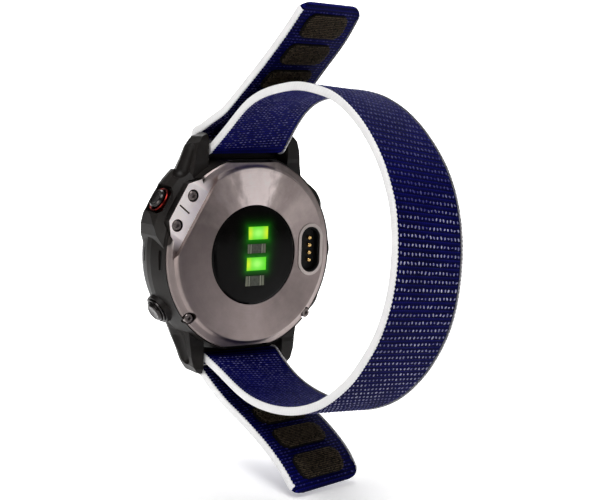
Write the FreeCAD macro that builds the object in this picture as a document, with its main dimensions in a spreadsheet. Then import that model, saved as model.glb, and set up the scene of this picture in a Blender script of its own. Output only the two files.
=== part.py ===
import FreeCAD, Part
import os
import math
import Sketcher

# Wrist tracker with a fabric band, millimetres.
# X is the width of the band, Z points to the top of the dial, Y runs from the
# wrist side of the case (y = 0 is the raised disc of the rear cover) to the
# glass. The origin is the centre of the rear cover's raised disc.

V = FreeCAD.Vector
doc = FreeCAD.newDocument("wrist_tracker")
sheet = doc.addObject("Spreadsheet::Sheet", "Sizes")

TABLE = [
    ("case_radius", 24.7, "largest radius of the polymer housing"),
    ("case_bore", 20.4, "inside radius of the housing"),
    ("case_back_y", 3.4, "where the rear cover meets the housing"),
    ("case_front_y", 11.8, "where the bezel meets the housing"),
    ("case_flat_z", 22.6, "flats between the lugs"),
    ("lug_gap_half", 11.35, "half the gap between the lugs"),
    ("lug_tip_z", 29.0, "tip of the lugs"),
    ("lug_bar_y", 5.5, "lug bar axis, depth"),
    ("lug_bar_z", 26.5, "lug bar axis, height"),
    ("lug_bar_radius", 1.0, "thick part of the bar"),
    ("lug_pin_radius", 0.6, "thin ends of the bar"),
    ("lug_pin_reach", 13.3, "half length of the bar"),
    ("bezel_radius", 23.3, "outer radius of the bezel ring"),
    ("bezel_inner", 18.3, "inner radius of the bezel ring"),
    ("bezel_top_y", 14.6, "front face of the bezel ring"),
    ("glass_radius", 18.25, "front glass"),
    ("glass_top_y", 14.3, "front face of the glass"),
    ("cover_disc", 20.8, "raised disc of the rear cover"),
    ("cover_radius", 23.25, "rear cover outer radius"),
    ("cover_flat_z", 22.0, "flats of the rear cover"),
    ("window_radius", 11.95, "sensor window"),
    ("window_crown", 0.75, "how far the window stands proud"),
    ("screw_circle", 22.1, "radius of the cover screws"),
    ("screw_head", 1.12, "cover screw head radius"),
    ("screw_shank", 0.6, "cover screw shank radius"),
    ("port_x", 16.65, "charging socket centre"),
    ("port_z", 0.6, "charging socket centre"),
    ("port_half_w", 3.6, "socket ring half width"),
    ("port_half_l", 6.4, "socket ring half length"),
    ("port_wall", 0.8, "socket ring wall"),
    ("contact_pitch", 1.85, "pitch of the four contacts"),
    ("contact_radius", 0.5, "contact radius"),
    ("button_y", 8.0, "button axis depth"),
    ("button_cap", 2.4, "button cap radius"),
    ("button_stem", 0.85, "button stem radius"),
    ("button_travel", 0.8, "button travel"),
    ("button_floor", 23.9, "floor of the button pocket"),
    ("button_face", 26.6, "outer face of the button cap"),
    ("ring_inner", 2.6, "button collar inside radius"),
    ("ring_outer", 3.1, "button collar outside radius"),
    ("ring_face", 25.8, "button collar outer face"),
    ("boss_face", 25.3, "button boss outer face"),
    ("bushing_inner", 0.9, "bushing bore radius"),
    ("bushing_outer", 1.6, "bushing outside radius"),
    ("battery_w", 24.0, "battery width"),
    ("battery_l", 19.0, "battery length"),
    ("battery_t", 4.1, "battery thickness"),
    ("board_radius", 18.25, "main board radius"),
    ("display_radius", 17.4, "display panel radius"),
    ("band_half", 10.8, "half width of the band"),
    ("band_edge", 0.8, "width of the white binding"),
    ("band_thick", 1.5, "thickness of the woven band"),
    ("binding_thick", 1.8, "thickness over the binding"),
    ("bar_clear", 0.15, "gap between band and lug bar"),
    ("pad_half_w", 7.0, "hook pad half width"),
    ("pad_half_l", 3.4, "hook pad half length"),
    ("pad_thick", 0.5, "hook pad thickness"),
]
S = {}
for row, (alias, value, note) in enumerate(TABLE, start=1):
    sheet.set("A%d" % row, alias)
    sheet.set("B%d" % row, str(value))
    sheet.set("C%d" % row, note)
    sheet.setAlias("B%d" % row, alias)
    S[alias] = value
doc.recompute()


# A size is a plain number, an alias, or (alias, offset) or (alias, offset, factor).
def val(c):
    if isinstance(c, (int, float)):
        return float(c)
    if isinstance(c, str):
        return S[c]
    return S[c[0]] * (c[2] if len(c) > 2 else 1.0) + c[1]


def expr(c):
    if isinstance(c, (int, float)):
        return None
    if isinstance(c, str):
        return "Sizes.%s" % c
    f = " * %s" % repr(float(c[2])) if len(c) > 2 else ""
    return "Sizes.%s%s + %s" % (c[0], f, repr(float(c[1])))


def bind(obj, prop, c):
    setattr(obj, prop, val(c))
    e = expr(c)
    if e:
        obj.setExpression(prop, e)


NODES = []


def keep(obj, label):
    obj.Label = label
    NODES.append(obj)
    return obj


def origin_plane(body, role):
    return [o for o in body.Origin.OriginFeatures if o.Role == role][0]


def new_sketch(body, role, name, offset=None):
    s = body.newObject("Sketcher::SketchObject", name)
    s.AttachmentSupport = [(origin_plane(body, role), "")]
    s.MapMode = "FlatFace"
    if offset is not None:
        s.AttachmentOffset = FreeCAD.Placement(V(0, 0, val(offset)), FreeCAD.Rotation())
        e = expr(offset)
        if e:
            s.setExpression(".AttachmentOffset.Base.z", e)
    return s


def fix_point(s, gid, pos, x, y):
    for kind, c in (("DistanceX", x), ("DistanceY", y)):
        v = val(c)
        if abs(v) < 1e-9:
            s.addConstraint(Sketcher.Constraint("PointOnObject", gid, pos, -2 if kind == "DistanceX" else -1))
        else:
            k = s.addConstraint(Sketcher.Constraint(kind, -1, 1, gid, pos, v))
            e = expr(c)
            if e:
                s.setExpression("Constraints[%d]" % k, e)


def polygon(s, pts):
    n = len(pts)
    p = [V(val(a), val(b), 0) for a, b in pts]
    ids = [s.addGeometry(Part.LineSegment(p[i], p[(i + 1) % n]), False) for i in range(n)]
    for i in range(n):
        s.addConstraint(Sketcher.Constraint("Coincident", ids[i], 2, ids[(i + 1) % n], 1))
    for i in range(n):
        fix_point(s, ids[i], 1, pts[i][0], pts[i][1])


def circle(s, x, y, r):
    g = s.addGeometry(Part.Circle(V(val(x), val(y), 0), V(0, 0, 1), val(r)), False)
    fix_point(s, g, 3, x, y)
    k = s.addConstraint(Sketcher.Constraint("Radius", g, val(r)))
    e = expr(r)
    if e:
        s.setExpression("Constraints[%d]" % k, e)


def turned(name, pts, label=None):
    """A body turned about the case axis (Y) from a (radius, y) outline."""
    b = doc.addObject("PartDesign::Body", name)
    s = new_sketch(b, "XY_Plane", name + "_profile")
    polygon(s, pts)
    r = b.newObject("PartDesign::Revolution", name + "_turn")
    r.Profile = s
    r.ReferenceAxis = (s, ["V_Axis"])
    r.Angle = 360
    if label:
        keep(b, label)
    return b


def spindle(name, pts, label=None):
    """A body turned about its own Z from a (radius, z) outline."""
    b = doc.addObject("PartDesign::Body", name)
    s = new_sketch(b, "XZ_Plane", name + "_profile")
    polygon(s, pts)
    r = b.newObject("PartDesign::Revolution", name + "_turn")
    r.Profile = s
    r.ReferenceAxis = (s, ["V_Axis"])
    r.Angle = 360
    if label:
        keep(b, label)
    return b


def plate(name, y0, t, pts=None, circ=None, label=None):
    """A body padded along +Y from y0 by t; its outline is in (x, z)."""
    b = doc.addObject("PartDesign::Body", name)
    off = -val(y0) if isinstance(y0, (int, float)) else (y0[0], -y0[1], -(y0[2] if len(y0) > 2 else 1.0)) if isinstance(y0, tuple) else (y0, 0.0, -1.0)
    s = new_sketch(b, "XZ_Plane", name + "_outline", off)
    if pts:
        polygon(s, pts)
    for c in circ or []:
        circle(s, *c)
    p = b.newObject("PartDesign::Pad", name + "_pad")
    p.Profile = s
    bind(p, "Length", t)
    p.Reversed = True
    if label:
        keep(b, label)
    return b


def cut_plate(b, name, y0, t, pts=None, circ=None):
    s = new_sketch(b, "XZ_Plane", name + "_outline", -val(y0))
    if pts:
        polygon(s, pts)
    for c in circ or []:
        circle(s, *c)
    p = b.newObject("PartDesign::Pocket", name + "_cut")
    p.Profile = s
    bind(p, "Length", t)
    p.Reversed = False
    return p


def check_cut(b, feat, want_less):
    doc.recompute()
    if not b.Shape.Volume < want_less - 1e-6:
        feat.Reversed = not feat.Reversed
        doc.recompute()
    if not b.Shape.Volume < want_less - 1e-6:
        raise RuntimeError("cut removed nothing: " + feat.Name)


def box(name, size, corner):
    o = doc.addObject("Part::Box", name)
    for prop, c in zip(("Length", "Width", "Height"), size):
        bind(o, prop, c)
    o.Placement.Base = V(*[val(c) for c in corner])
    for axis, c in zip("xyz", corner):
        e = expr(c)
        if e:
            o.setExpression(".Placement.Base." + axis, e)
    return o


def rod(name, r, length, base, direction):
    o = doc.addObject("Part::Cylinder", name)
    bind(o, "Radius", r)
    bind(o, "Height", length)
    o.Placement = FreeCAD.Placement(V(*base), FreeCAD.Rotation(V(0, 0, 1), V(*direction)))
    return o


def cone(name, r1, r2, length, base, direction):
    o = doc.addObject("Part::Cone", name)
    bind(o, "Radius1", r1)
    bind(o, "Radius2", r2)
    bind(o, "Height", length)
    o.Placement = FreeCAD.Placement(V(*base), FreeCAD.Rotation(V(0, 0, 1), V(*direction)))
    return o


def fuse(name, parts):
    o = doc.addObject("Part::MultiFuse", name)
    o.Shapes = parts
    return o


def cut(name, base, tool):
    o = doc.addObject("Part::Cut", name)
    o.Base = base
    o.Tool = tool
    return o


def common(name, parts):
    o = doc.addObject("Part::MultiCommon", name)
    o.Shapes = parts
    return o


def group(name, parts, label=None):
    o = doc.addObject("Part::Compound", name)
    o.Links = parts
    if label:
        keep(o, label)
    return o


def prism(name, pts, plane, start, length):
    """A straight prism. plane 'xz' runs along +Y, plane 'yz' runs along +X."""
    s = doc.addObject("Sketcher::SketchObject", name + "_sketch")
    polygon(s, pts)
    if plane == "xz":
        s.Placement = FreeCAD.Placement(V(0, start, 0), FreeCAD.Rotation(V(1, 0, 0), V(0, 0, 1), V(0, -1, 0), "ZXY"))
        direction = V(0, 1, 0)
    else:
        s.Placement = FreeCAD.Placement(V(start, 0, 0), FreeCAD.Rotation(V(0, 1, 0), V(0, 0, 1), V(1, 0, 0), "ZXY"))
        direction = V(1, 0, 0)
    o = doc.addObject("Part::Extrusion", name)
    o.Base = s
    o.DirMode = "Custom"
    o.Dir = direction
    o.LengthFwd = length
    o.Solid = True
    return o


# Buttons sit on radial axes in the plane y = button_y. Two on the -X side, three on +X.
BUTTONS = {"start": 149.0, "back": 211.0, "light": 31.0, "up": 0.0, "down": -31.0}


def radial(angle):
    a = math.radians(angle)
    return V(math.cos(a), 0, math.sin(a))


def at_radius(angle, rho):
    d = radial(angle)
    return (d.x * rho, S["button_y"], d.z * rho)


# ---------------------------------------------------------------- housing
housing_ring = turned("housing_ring", [
    (20.4, "case_back_y"), (("cover_radius", 0.05), "case_back_y"), (("cover_radius", 0.05), 1.8), (("cover_radius", 0.22), 1.75), (23.75, 2.9), (24.25, 4.9), (("case_radius", -0.05), 6.6),
    ("case_radius", 8.4), (24.4, 10.1), (23.9, 11.1), (23.2, "case_front_y"),
    (19.4, "case_front_y"), (19.4, 9.1), (20.4, 9.1)])

# Lug outlines in plan (x, z) at three depths, and from the side (y, z), for the
# upper right one. The outer side leans in towards the wrist.
LUG_LEVELS = [
    (3.2, [("lug_gap_half", 13.0), (19.4, 11.5), (17.5, 15.2), (15.5, 18.0), (15.1, 21.0), (14.8, 24.4), (14.1, 26.8), (12.9, 28.2), ("lug_gap_half", 28.8)]),
    (8.6, [("lug_gap_half", 13.0), (22.4, 9.5), (20.1, 14.2), (18.1, 17.6), (17.0, 20.4), (15.7, 23.2), (14.7, 25.8), (13.3, 27.9), ("lug_gap_half", "lug_tip_z")]),
    (11.8, [("lug_gap_half", 13.0), (21.4, 8.6), (19.2, 13.4), (17.2, 16.8), (16.0, 19.5), (14.7, 22.2), (13.8, 24.8), (12.7, 27.2), ("lug_gap_half", 28.6)])]
lug_side = [(3.45, 10.0), (3.45, 21.6), (3.3, 22.6), (3.3, 27.2), (3.9, 28.5), (5.2, 29.1), (6.8, 29.0), (8.2, 28.0), (9.8, 25.2),
            (11.3, 21.0), (11.6, 17.0), (11.6, 10.0)]


def flip(pts, sx, sz):
    out = []
    for a, b in pts:
        a2 = a if sx > 0 else ((a, 0.0, -1.0) if isinstance(a, str) else -a)
        b2 = b if sz > 0 else ((b, 0.0, -1.0) if isinstance(b, str) else -b)
        out.append((a2, b2))
    return out


def loft(name, levels):
    """A ruled solid through outlines in (x, z) that have the same number of corners."""
    sections = []
    for i, (y, pts) in enumerate(levels):
        s = doc.addObject("Sketcher::SketchObject", "%s_level_%d" % (name, i))
        polygon(s, pts)
        s.Placement = FreeCAD.Placement(V(0, y, 0), FreeCAD.Rotation(V(1, 0, 0), V(0, 0, 1), V(0, -1, 0), "ZXY"))
        sections.append(s)
    o = doc.addObject("Part::Loft", name)
    o.Sections = sections
    o.Solid = True
    o.Ruled = True
    return o


lugs = []
for tag, sx, sz in (("ur", 1, 1), ("ul", -1, 1), ("lr", 1, -1), ("ll", -1, -1)):
    plan = loft("lug_plan_" + tag, [(y, flip(pts, sx, sz)) for y, pts in LUG_LEVELS])
    side = prism("lug_side_" + tag, flip(lug_side, 1, sz), "yz", -26.0, 52.0)
    lugs.append(common("lug_" + tag, [plan, side]))

bosses = []
for tag, ang in BUTTONS.items():
    bosses.append(common("boss_" + tag, [
        cone("boss_cone_" + tag, 4.6 if tag == "back" else 5.4, 3.6 if tag == "back" else 4.2, ("boss_face", -21.0), at_radius(ang, 21.0), tuple(radial(ang))), box("boss_slab_" + tag, (80.0, 8.2, 80.0), (-40.0, 3.45, -40.0))]))

# The upper left button sits in a raised guard that fairs into the flank and the lug.
guard_round = turned("guard_round", [
    (20.6, 3.45), (("cover_radius", 0.1), 3.45), (("cover_radius", 0.1), 2.4), (23.9, 2.5), (24.8, 3.9), (25.7, 5.2), (26.5, 7.2), (26.8, 9.0), (26.6, 10.4), (25.9, 11.3), (24.8, 11.75), (20.6, 11.75)])
guard_plan = prism("guard_plan", [
    (-15.6, 12.0), (-15.6, 19.6), (-17.6, 20.2), (-19.2, 19.3), (-20.9, 17.9), (-22.2, 16.9), (-23.4, 14.9), (-24.2, 12.6), (-24.6, 10.0), (-24.75, 7.5),
    (-24.5, 5.0), (-23.6, 2.4), (-22.2, 0.6), (-20.0, 0.6)], "xz", 2.0, 10.5)
bosses.append(common("guard", [guard_round, guard_plan]))

# low walls between the lugs, in front of the band
for sz, top in ((1, 24.75), (-1, 25.3)):
    bosses.append(prism("lug_wall_%d" % sz, [(8.6, sz * 19.5), (11.5, sz * 19.5), (11.5, sz * (top - 0.7)), (10.9, sz * top), (8.9, sz * top), (8.6, sz * (top - 0.3))], "yz", -12.0, 24.0))

solid_housing = fuse("housing_solid", [housing_ring] + lugs + bosses)

tools = [rod("housing_bore", "case_bore", 5.7, (0, 3.4, 0), (0, 1, 0)),
         rod("housing_mouth", 19.4, 6.0, (0, 8.0, 0), (0, 1, 0)),
         rod("housing_gasket_seat", 21.1, 0.7, (0, 3.4, 0), (0, 1, 0))]
for sz in (1, -1):
    tools.append(box("flat_%s" % ("top" if sz > 0 else "bottom"), (("lug_gap_half", 0.0, 2.0), 8.4, 10.0),
                     (("lug_gap_half", 0.0, -1.0), 0.0, "case_flat_z" if sz > 0 else ("case_flat_z", -10.0, -1.0))))
    for sx in (1, -1):
        tools.append(rod("pin_hole_%d_%d" % (sx, sz), ("lug_pin_radius", 0.03), 2.2,
                         (sx * (S["lug_gap_half"] - 0.1), S["lug_bar_y"], sz * S["lug_bar_z"]), (sx, 0, 0)))
for tag, ang in BUTTONS.items():
    d = tuple(radial(ang))
    tools.append(rod("pocket_" + tag, ("ring_outer", 0.03), 5.0, at_radius(ang, S["button_floor"]), d))
    tools.append(rod("bore_" + tag, ("bushing_outer", 0.02), 6.0, at_radius(ang, 19.0), d))
# a rounded square recess round the collar of the upper left button
d = radial(BUTTONS["start"])
recess_box = doc.addObject("Part::Box", "recess_box")
recess_box.Length, recess_box.Width, recess_box.Height = 5.0, 6.8, 7.2
rot = FreeCAD.Rotation(d, V(0, 1, 0), d.cross(V(0, 1, 0)), "XYZ")
recess_box.Placement = FreeCAD.Placement(V(*at_radius(BUTTONS["start"], 24.6)) - rot.multVec(V(0, 3.5, 3.6)), rot)
tools.append(common("button_recess", [recess_box, rod("recess_round", 4.3, 6.0, at_radius(BUTTONS["start"], 24.5), tuple(d))]))

SCREWS = [(-16.7, 14.5), (-20.8, 7.7), (-17.1, -14.3), (16.8, -15.4)]
for i, (x, z) in enumerate(SCREWS):
    tools.append(rod("screw_hole_%d" % i, ("screw_shank", 0.02), 5.2, (x, 3.0, z), (0, 1, 0)))
    tools.append(rod("screw_head_space_%d" % i, ("screw_head", 0.3), 2.3, (x, 1.0, z), (0, 1, 0)))

# Two slots in the left flank and a long recess in the outer side of each lug.
tools.append(box("vent_slot_rear", (2.05, 1.1, 4.6), (-25.4, 2.9, -2.9)))
tools.append(box("vent_slot_front", (2.4, 0.7, 3.4), (-25.9, 9.3, -1.4)))
for sx in (1, -1):
    for sz in (1, -1):
        # a rounded scoop along the outer side of the lug
        p0, p1 = V(sx * 17.5, 6.1, sz * 20.4), V(sx * 15.75, 6.1, sz * 25.0)
        along = p1 - p0
        tag = "lug_scoop_%d_%d" % (sx + 1, sz + 1)
        balls = []
        for k, p in enumerate((p0, p1)):
            o = doc.addObject("Part::Sphere", "%s_end_%d" % (tag, k))
            o.Radius = 2.3 if k == 0 else 2.0
            o.Placement.Base = p
            balls.append(o)
        tools.append(fuse(tag, [cone(tag + "_run", 2.3, 2.0, along.Length, tuple(p0), tuple(along))] + balls))

tools.append(prism("ledge_clearance", [(-19.0, 2.6), (-22.6, 5.6), (-22.95, 7.3), (-23.15, 8.95), (-18.1, 17.5), (-14.2, 18.6), (-12.0, 16.0), (-16.0, 8.0)], "xz", 1.0, 2.42))
mid_case = keep(cut("mid_case", solid_housing, fuse("housing_tools", tools)), "mid_case")

# vent inserts fill the two slots, set 0.35 back from the flank
vent_covers = group("vent_covers", [
    box("vent_insert_rear", (0.25, 1.0, 4.5), (-23.62, 2.95, -2.85)),
    box("vent_insert_front", (0.8, 0.6, 3.3), (-24.3, 9.35, -1.35))], "vent_covers")

# ---------------------------------------------------------------- front
turned("bezel_ring", [
    (19.45, 12.0), (19.45, 11.85), ("bezel_radius", 11.85), (("bezel_radius", 0.15), 12.3), (("bezel_radius", -0.2), 13.3),
    (("bezel_radius", -0.9), 14.25), (("bezel_radius", -1.6), "bezel_top_y"), (("bezel_inner", 1.2), "bezel_top_y"), (("bezel_inner", 0.05), 14.3),
    (("bezel_inner", 0.05), 12.65), (19.45, 12.65)], "bezel_ring")
turned("bezel_gasket", [
    (18.35, 12.0), (19.4, 12.0), (19.4, 12.6), (18.35, 12.6)], "bezel_gasket")
turned("display_glass", [
    (0.0, 12.65), (("glass_radius", -0.0), 12.65), ("glass_radius", 14.0), (("glass_radius", -0.35), "glass_top_y"), (0.0, "glass_top_y")], "display_glass")
turned("chapter_ring", [
    (16.6, 10.75), (18.3, 10.75), (18.3, 12.6), (17.9, 12.6)], "chapter_ring")
turned("display_panel", [
    (0.0, 9.35), ("display_radius", 9.35), ("display_radius", 10.7), (0.0, 10.7)], "display_panel")
turned("antenna_ring", [
    (18.4, 9.6), (19.3, 9.6), (19.3, 11.7), (18.4, 11.7)], "antenna_ring")

# ---------------------------------------------------------------- inside
frame = plate("inner_frame", 7.7, 0.5, circ=[(0.0, 0.0, 16.9)])
doc.recompute()
wall = new_sketch(frame, "XZ_Plane", "frame_wall_outline", -3.6)
hw, hl = ("battery_w", 0.15, 0.5), ("battery_l", 0.15, 0.5)
polygon(wall, [(("battery_w", -1.15, -0.5), ("battery_l", -1.15, -0.5)), (("battery_w", 1.15, 0.5), ("battery_l", -1.15, -0.5)),
               (("battery_w", 1.15, 0.5), ("battery_l", 1.15, 0.5)), (("battery_w", -1.15, -0.5), ("battery_l", 1.15, 0.5))])
polygon(wall, [(("battery_w", -0.15, -0.5), ("battery_l", -0.15, -0.5)), (("battery_w", 0.15, 0.5), ("battery_l", -0.15, -0.5)),
               (("battery_w", 0.15, 0.5), ("battery_l", 0.15, 0.5)), (("battery_w", -0.15, -0.5), ("battery_l", 0.15, 0.5))])
wp = frame.newObject("PartDesign::Pad", "frame_wall_pad")
wp.Profile = wall
wp.Length = 4.2
wp.Reversed = True
keep(frame, "inner_frame")

battery = plate("battery", 3.4, "battery_t", pts=[
    (("battery_w", 0.0, -0.5), ("battery_l", 0.0, -0.5)), (("battery_w", 0.0, 0.5), ("battery_l", 0.0, -0.5)),
    (("battery_w", 0.0, 0.5), ("battery_l", 0.0, 0.5)), (("battery_w", 0.0, -0.5), ("battery_l", 0.0, 0.5))])
doc.recompute()
bf = battery.newObject("PartDesign::Fillet", "battery_round")
pad = [o for o in battery.Group if o.TypeId == "PartDesign::Pad"][0]
upright = ["Edge%d" % (i + 1) for i, e in enumerate(pad.Shape.Edges)
           if abs(e.tangentAt(e.FirstParameter).y) > 0.99]
bf.Base = (pad, upright)
bf.Radius = 1.4
keep(battery, "battery")

plate("main_board", 8.35, 0.8, circ=[(0.0, 0.0, "board_radius")], label="main_board")
group("shield_cans", [box("shield_a", (3.0, 2.4, 9.0), (-19.0, 5.2, -4.5)),
                      box("shield_b", (8.0, 2.5, 4.6), (-4.0, 5.1, 12.0))], "shield_cans")
group("vibration_motor", [fuse("motor_body", [rod("motor_can", 2.0, 6.0, (-3.0, 5.7, -13.6), (1, 0, 0)),
                                              rod("motor_weight", 1.5, 2.4, (3.0, 5.7, -13.6), (1, 0, 0))])], "vibration_motor")
group("beeper_disc", [rod("beeper_plate", 3.0, 0.6, (0, 3.9, 14.6), (0, 1, 0))], "beeper_disc")

sensor_board = plate("sensor_board", 2.1, 0.6, circ=[(0.0, 0.0, 9.6)], label="sensor_board")

# flat flex from the sensor board round the battery frame to the main board
group("sensor_flex", [fuse("flex_strip", [
    box("flex_low", (6.45, 0.15, 6.0), (-14.45, 2.72, -3.0)),
    box("flex_up", (0.15, 4.9, 6.0), (-14.45, 2.72, -3.0))])], "sensor_flex")

switches = []
for tag, ang in BUTTONS.items():
    d = radial(ang)
    side = V(0, 1, 0).cross(d)
    o = doc.addObject("Part::Box", "switch_body_" + tag)
    o.Length, o.Width, o.Height = 1.4, 2.6, 3.0
    rot = FreeCAD.Rotation(d, V(0, 1, 0), d.cross(V(0, 1, 0)), "XYZ")
    base = V(*at_radius(ang, 17.0))
    o.Placement = FreeCAD.Placement(base - rot.multVec(V(0, 2.4, 1.5)), rot)
    pl = rod("switch_dome_" + tag, 0.7, 0.35, at_radius(ang, 18.35), tuple(d))
    switches.append(fuse("switch_" + tag, [o, pl]))
group("tact_switches", switches, "tact_switches")

# ---------------------------------------------------------------- rear cover
cover = turned("cover_turned", [
    (12.02, 0.0), (("cover_disc", 0.0), 0.0), (("cover_disc", 0.25), 0.12), (("cover_disc", 0.75), 0.95), (("cover_disc", 1.0), 1.1), (("cover_radius", -0.35), 1.55),
    ("cover_radius", 1.9), ("cover_radius", "case_back_y"), (20.4, "case_back_y"), (20.4, 2.2), (19.8, 1.4), (12.02, 1.4)])
doc.recompute()
cover_blank = prism("cover_outline", [
    (-9.8, "cover_flat_z"), (9.8, "cover_flat_z"), (16.2, 17.9), (26.0, 8.0), (26.0, -8.0), (16.2, -17.9), (9.8, ("cover_flat_z", 0.0, -1.0)),
    (-9.8, ("cover_flat_z", 0.0, -1.0)), (-16.2, -17.9), (-26.0, -8.0), (-26.0, 8.0), (-16.2, 17.9)], "xz", -1.0, 8.0)
# the ledge under the upper left button boss, where two screws sit side by side
LEDGE = [(-20.1, 1.9), (-22.5, 5.3), (-22.75, 7.4), (-22.95, 8.9), (-18.0, 17.3), (-14.4, 18.3), (-13.6, 16.2), (-17.4, 13.0), (-20.3, 8.0)]
ledge = prism("cover_ledge", LEDGE, "xz", 1.15, 2.24)
cover_shape = fuse("cover_joined", [common("cover_trimmed", [cover, cover_blank]), ledge])
cover_tools = []
for i, (x, z) in enumerate(SCREWS):
    cover_tools.append(rod("cover_screw_hole_%d" % i, ("screw_shank", 0.02), 6.0, (x, -1.0, z), (0, 1, 0)))
    cover_tools.append(rod("cover_counterbore_%d" % i, ("screw_head", 0.36), 3.3, (x, -1.0, z), (0, 1, 0)))


def obround(name, hw, hl, y0, t):
    """A slot-shaped prism centred on the charging socket, long along Z."""
    w = val(hw)
    straight = 2.0 * (val(hl) - w)
    parts = [rod(name + "_up", hw, t, (S["port_x"], y0, S["port_z"] + straight / 2), (0, 1, 0)),
             rod(name + "_down", hw, t, (S["port_x"], y0, S["port_z"] - straight / 2), (0, 1, 0)),
             box(name + "_mid", (2 * w, t, straight), (S["port_x"] - w, y0, S["port_z"] - straight / 2))]
    return fuse(name, parts)


# the raised disc is cut back to a chord beside the ledge
chord = doc.addObject("Part::Box", "ledge_chord")
chord.Length, chord.Width, chord.Height = 8.0, 3.0, 23.0
c_dir = radial(BUTTONS["start"])
rot = FreeCAD.Rotation(c_dir, V(0, 1, 0), c_dir.cross(V(0, 1, 0)), "XYZ")
chord.Placement = FreeCAD.Placement(c_dir * 18.5 + V(0, 1.15 - 3.0, 0) - rot.multVec(V(0, 0, 11.5)), rot)
cover_tools.append(chord)
groove = doc.addObject("Part::Box", "ledge_groove")
groove.Length, groove.Width, groove.Height = 3.4, 0.6, 0.4
g_dir = V(0.78, 0, -0.62)
g_dir.normalize()
groove.Placement = FreeCAD.Placement(V(-20.4, 0.95, 12.3), FreeCAD.Rotation(g_dir, V(0, 1, 0), g_dir.cross(V(0, 1, 0)), "XYZ"))
cover_tools.append(groove)
cover_tools.append(obround("port_opening", ("port_half_w", 0.03), ("port_half_l", 0.03), -1.0, 4.0))
keep(cut("caseback_cut", cover_shape, fuse("cover_tools", cover_tools)), "caseback")

turned("caseback_gasket", [(20.45, 3.45), (21.05, 3.45), (21.05, 4.05), (20.45, 4.05)], "caseback_gasket")

screws = []
for i, (x, z) in enumerate(SCREWS):
    head = cone("screw_head_%d" % i, ("screw_head", -0.15), "screw_head", 0.15, (x, 1.2, z), (0, 1, 0))
    head2 = rod("screw_neck_%d" % i, "screw_head", 0.9, (x, 1.35, z), (0, 1, 0))
    shank = rod("screw_shank_%d" % i, "screw_shank", 5.3, (x, 2.2, z), (0, 1, 0))
    lobes = [rod("screw_drive_%d" % i, 0.42, 0.7, (x, 1.0, z), (0, 1, 0))]
    for k in range(6):
        a = math.radians(60 * k)
        lobes.append(rod("screw_lobe_%d_%d" % (i, k), 0.16, 0.7, (x + 0.46 * math.cos(a), 1.0, z + 0.46 * math.sin(a)), (0, 1, 0)))
    screws.append(cut("screw_%d" % i, fuse("screw_blank_%d" % i, [head, head2, shank]), fuse("screw_socket_%d" % i, lobes)))
group("caseback_screws", screws, "caseback_screws")

# ---------------------------------------------------------------- optical sensor
window = turned("window_turned", [
    (0.0, ("window_crown", 0.0, -1.0)), (3.0, ("window_crown", 0.04, -1.0)), (6.0, ("window_crown", 0.17, -1.0)), (8.5, ("window_crown", 0.34, -1.0)),
    (10.6, ("window_crown", 0.55, -1.0)), (11.5, -0.1), ("window_radius", 0.15), ("window_radius", 1.45), (12.9, 1.45), (12.9, 1.95), (0.0, 1.95)])
doc.recompute()
WINDOWS = {"led": [(0.75, 5.3, 2.85, 1.55), (0.4, -2.1, 2.85, 1.6)], "eye": [(0.4, 1.55, 2.75, 1.15), (0.15, -6.2, 2.75, 1.25)]}
win_tools = []
for kind in ("led", "eye"):
    for i, (x, z, a, b) in enumerate(WINDOWS[kind]):
        win_tools.append(box("window_%s_%d" % (kind, i), (2 * a, 2.0, 2 * b), (x - a, -1.5, z - b)))
keep(cut("sensor_window_cut", window, fuse("window_tools", win_tools)), "sensor_window")
g = 0.04
group("sensor_leds", [box("led_%d" % i, (2 * (a - g), 0.95, 2 * (b - g)), (x - a + g, -0.48, z - b + g))
                      for i, (x, z, a, b) in enumerate(WINDOWS["led"])], "sensor_leds")
group("sensor_photodiodes", [box("eye_%d" % i, (2 * (a - g), 0.9, 2 * (b - g)), (x - a + g, -0.42, z - b + g))
                             for i, (x, z, a, b) in enumerate(WINDOWS["eye"])], "sensor_photodiodes")

# ---------------------------------------------------------------- charging socket
ring_solid = obround("port_ring_outer", "port_half_w", "port_half_l", -0.18, 1.9)
ring_hole = obround("port_ring_inner", ("port_half_w", -0.8), ("port_half_l", -0.8), -1.0, 4.0)
keep(cut("port_ring", ring_solid, ring_hole), "port_ring")
cup = obround("port_cup_outer", ("port_half_w", -0.85), ("port_half_l", -0.85), 0.25, 3.0)
cup_hole = obround("port_cup_inner", ("port_half_w", -1.15), ("port_half_l", -1.15), -1.0, 2.6)
pin_holes = []
pins = []
for i in range(4):
    z = S["port_z"] + (i - 1.5) * S["contact_pitch"]
    x = S["port_x"] + 0.45
    pin_holes.append(rod("contact_hole_%d" % i, ("contact_radius", 0.02), 6.0, (x, -1.0, z), (0, 1, 0)))
    pins.append(fuse("contact_%d" % i, [
        rod("contact_barrel_%d" % i, "contact_radius", 2.6, (x, 0.85, z), (0, 1, 0)),
        cone("contact_nose_%d" % i, 0.28, "contact_radius", 0.25, (x, 0.6, z), (0, 1, 0))]))
keep(cut("port_housing", cup, fuse("port_tools", [cup_hole] + pin_holes)), "port_housing")
group("contact_pins", pins, "contact_pins")

# ---------------------------------------------------------------- buttons
def place_radial(body, angle):
    d = radial(angle)
    body.Placement = FreeCAD.Placement(V(0, S["button_y"], 0), FreeCAD.Rotation(V(0, 0, 1), d))


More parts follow.
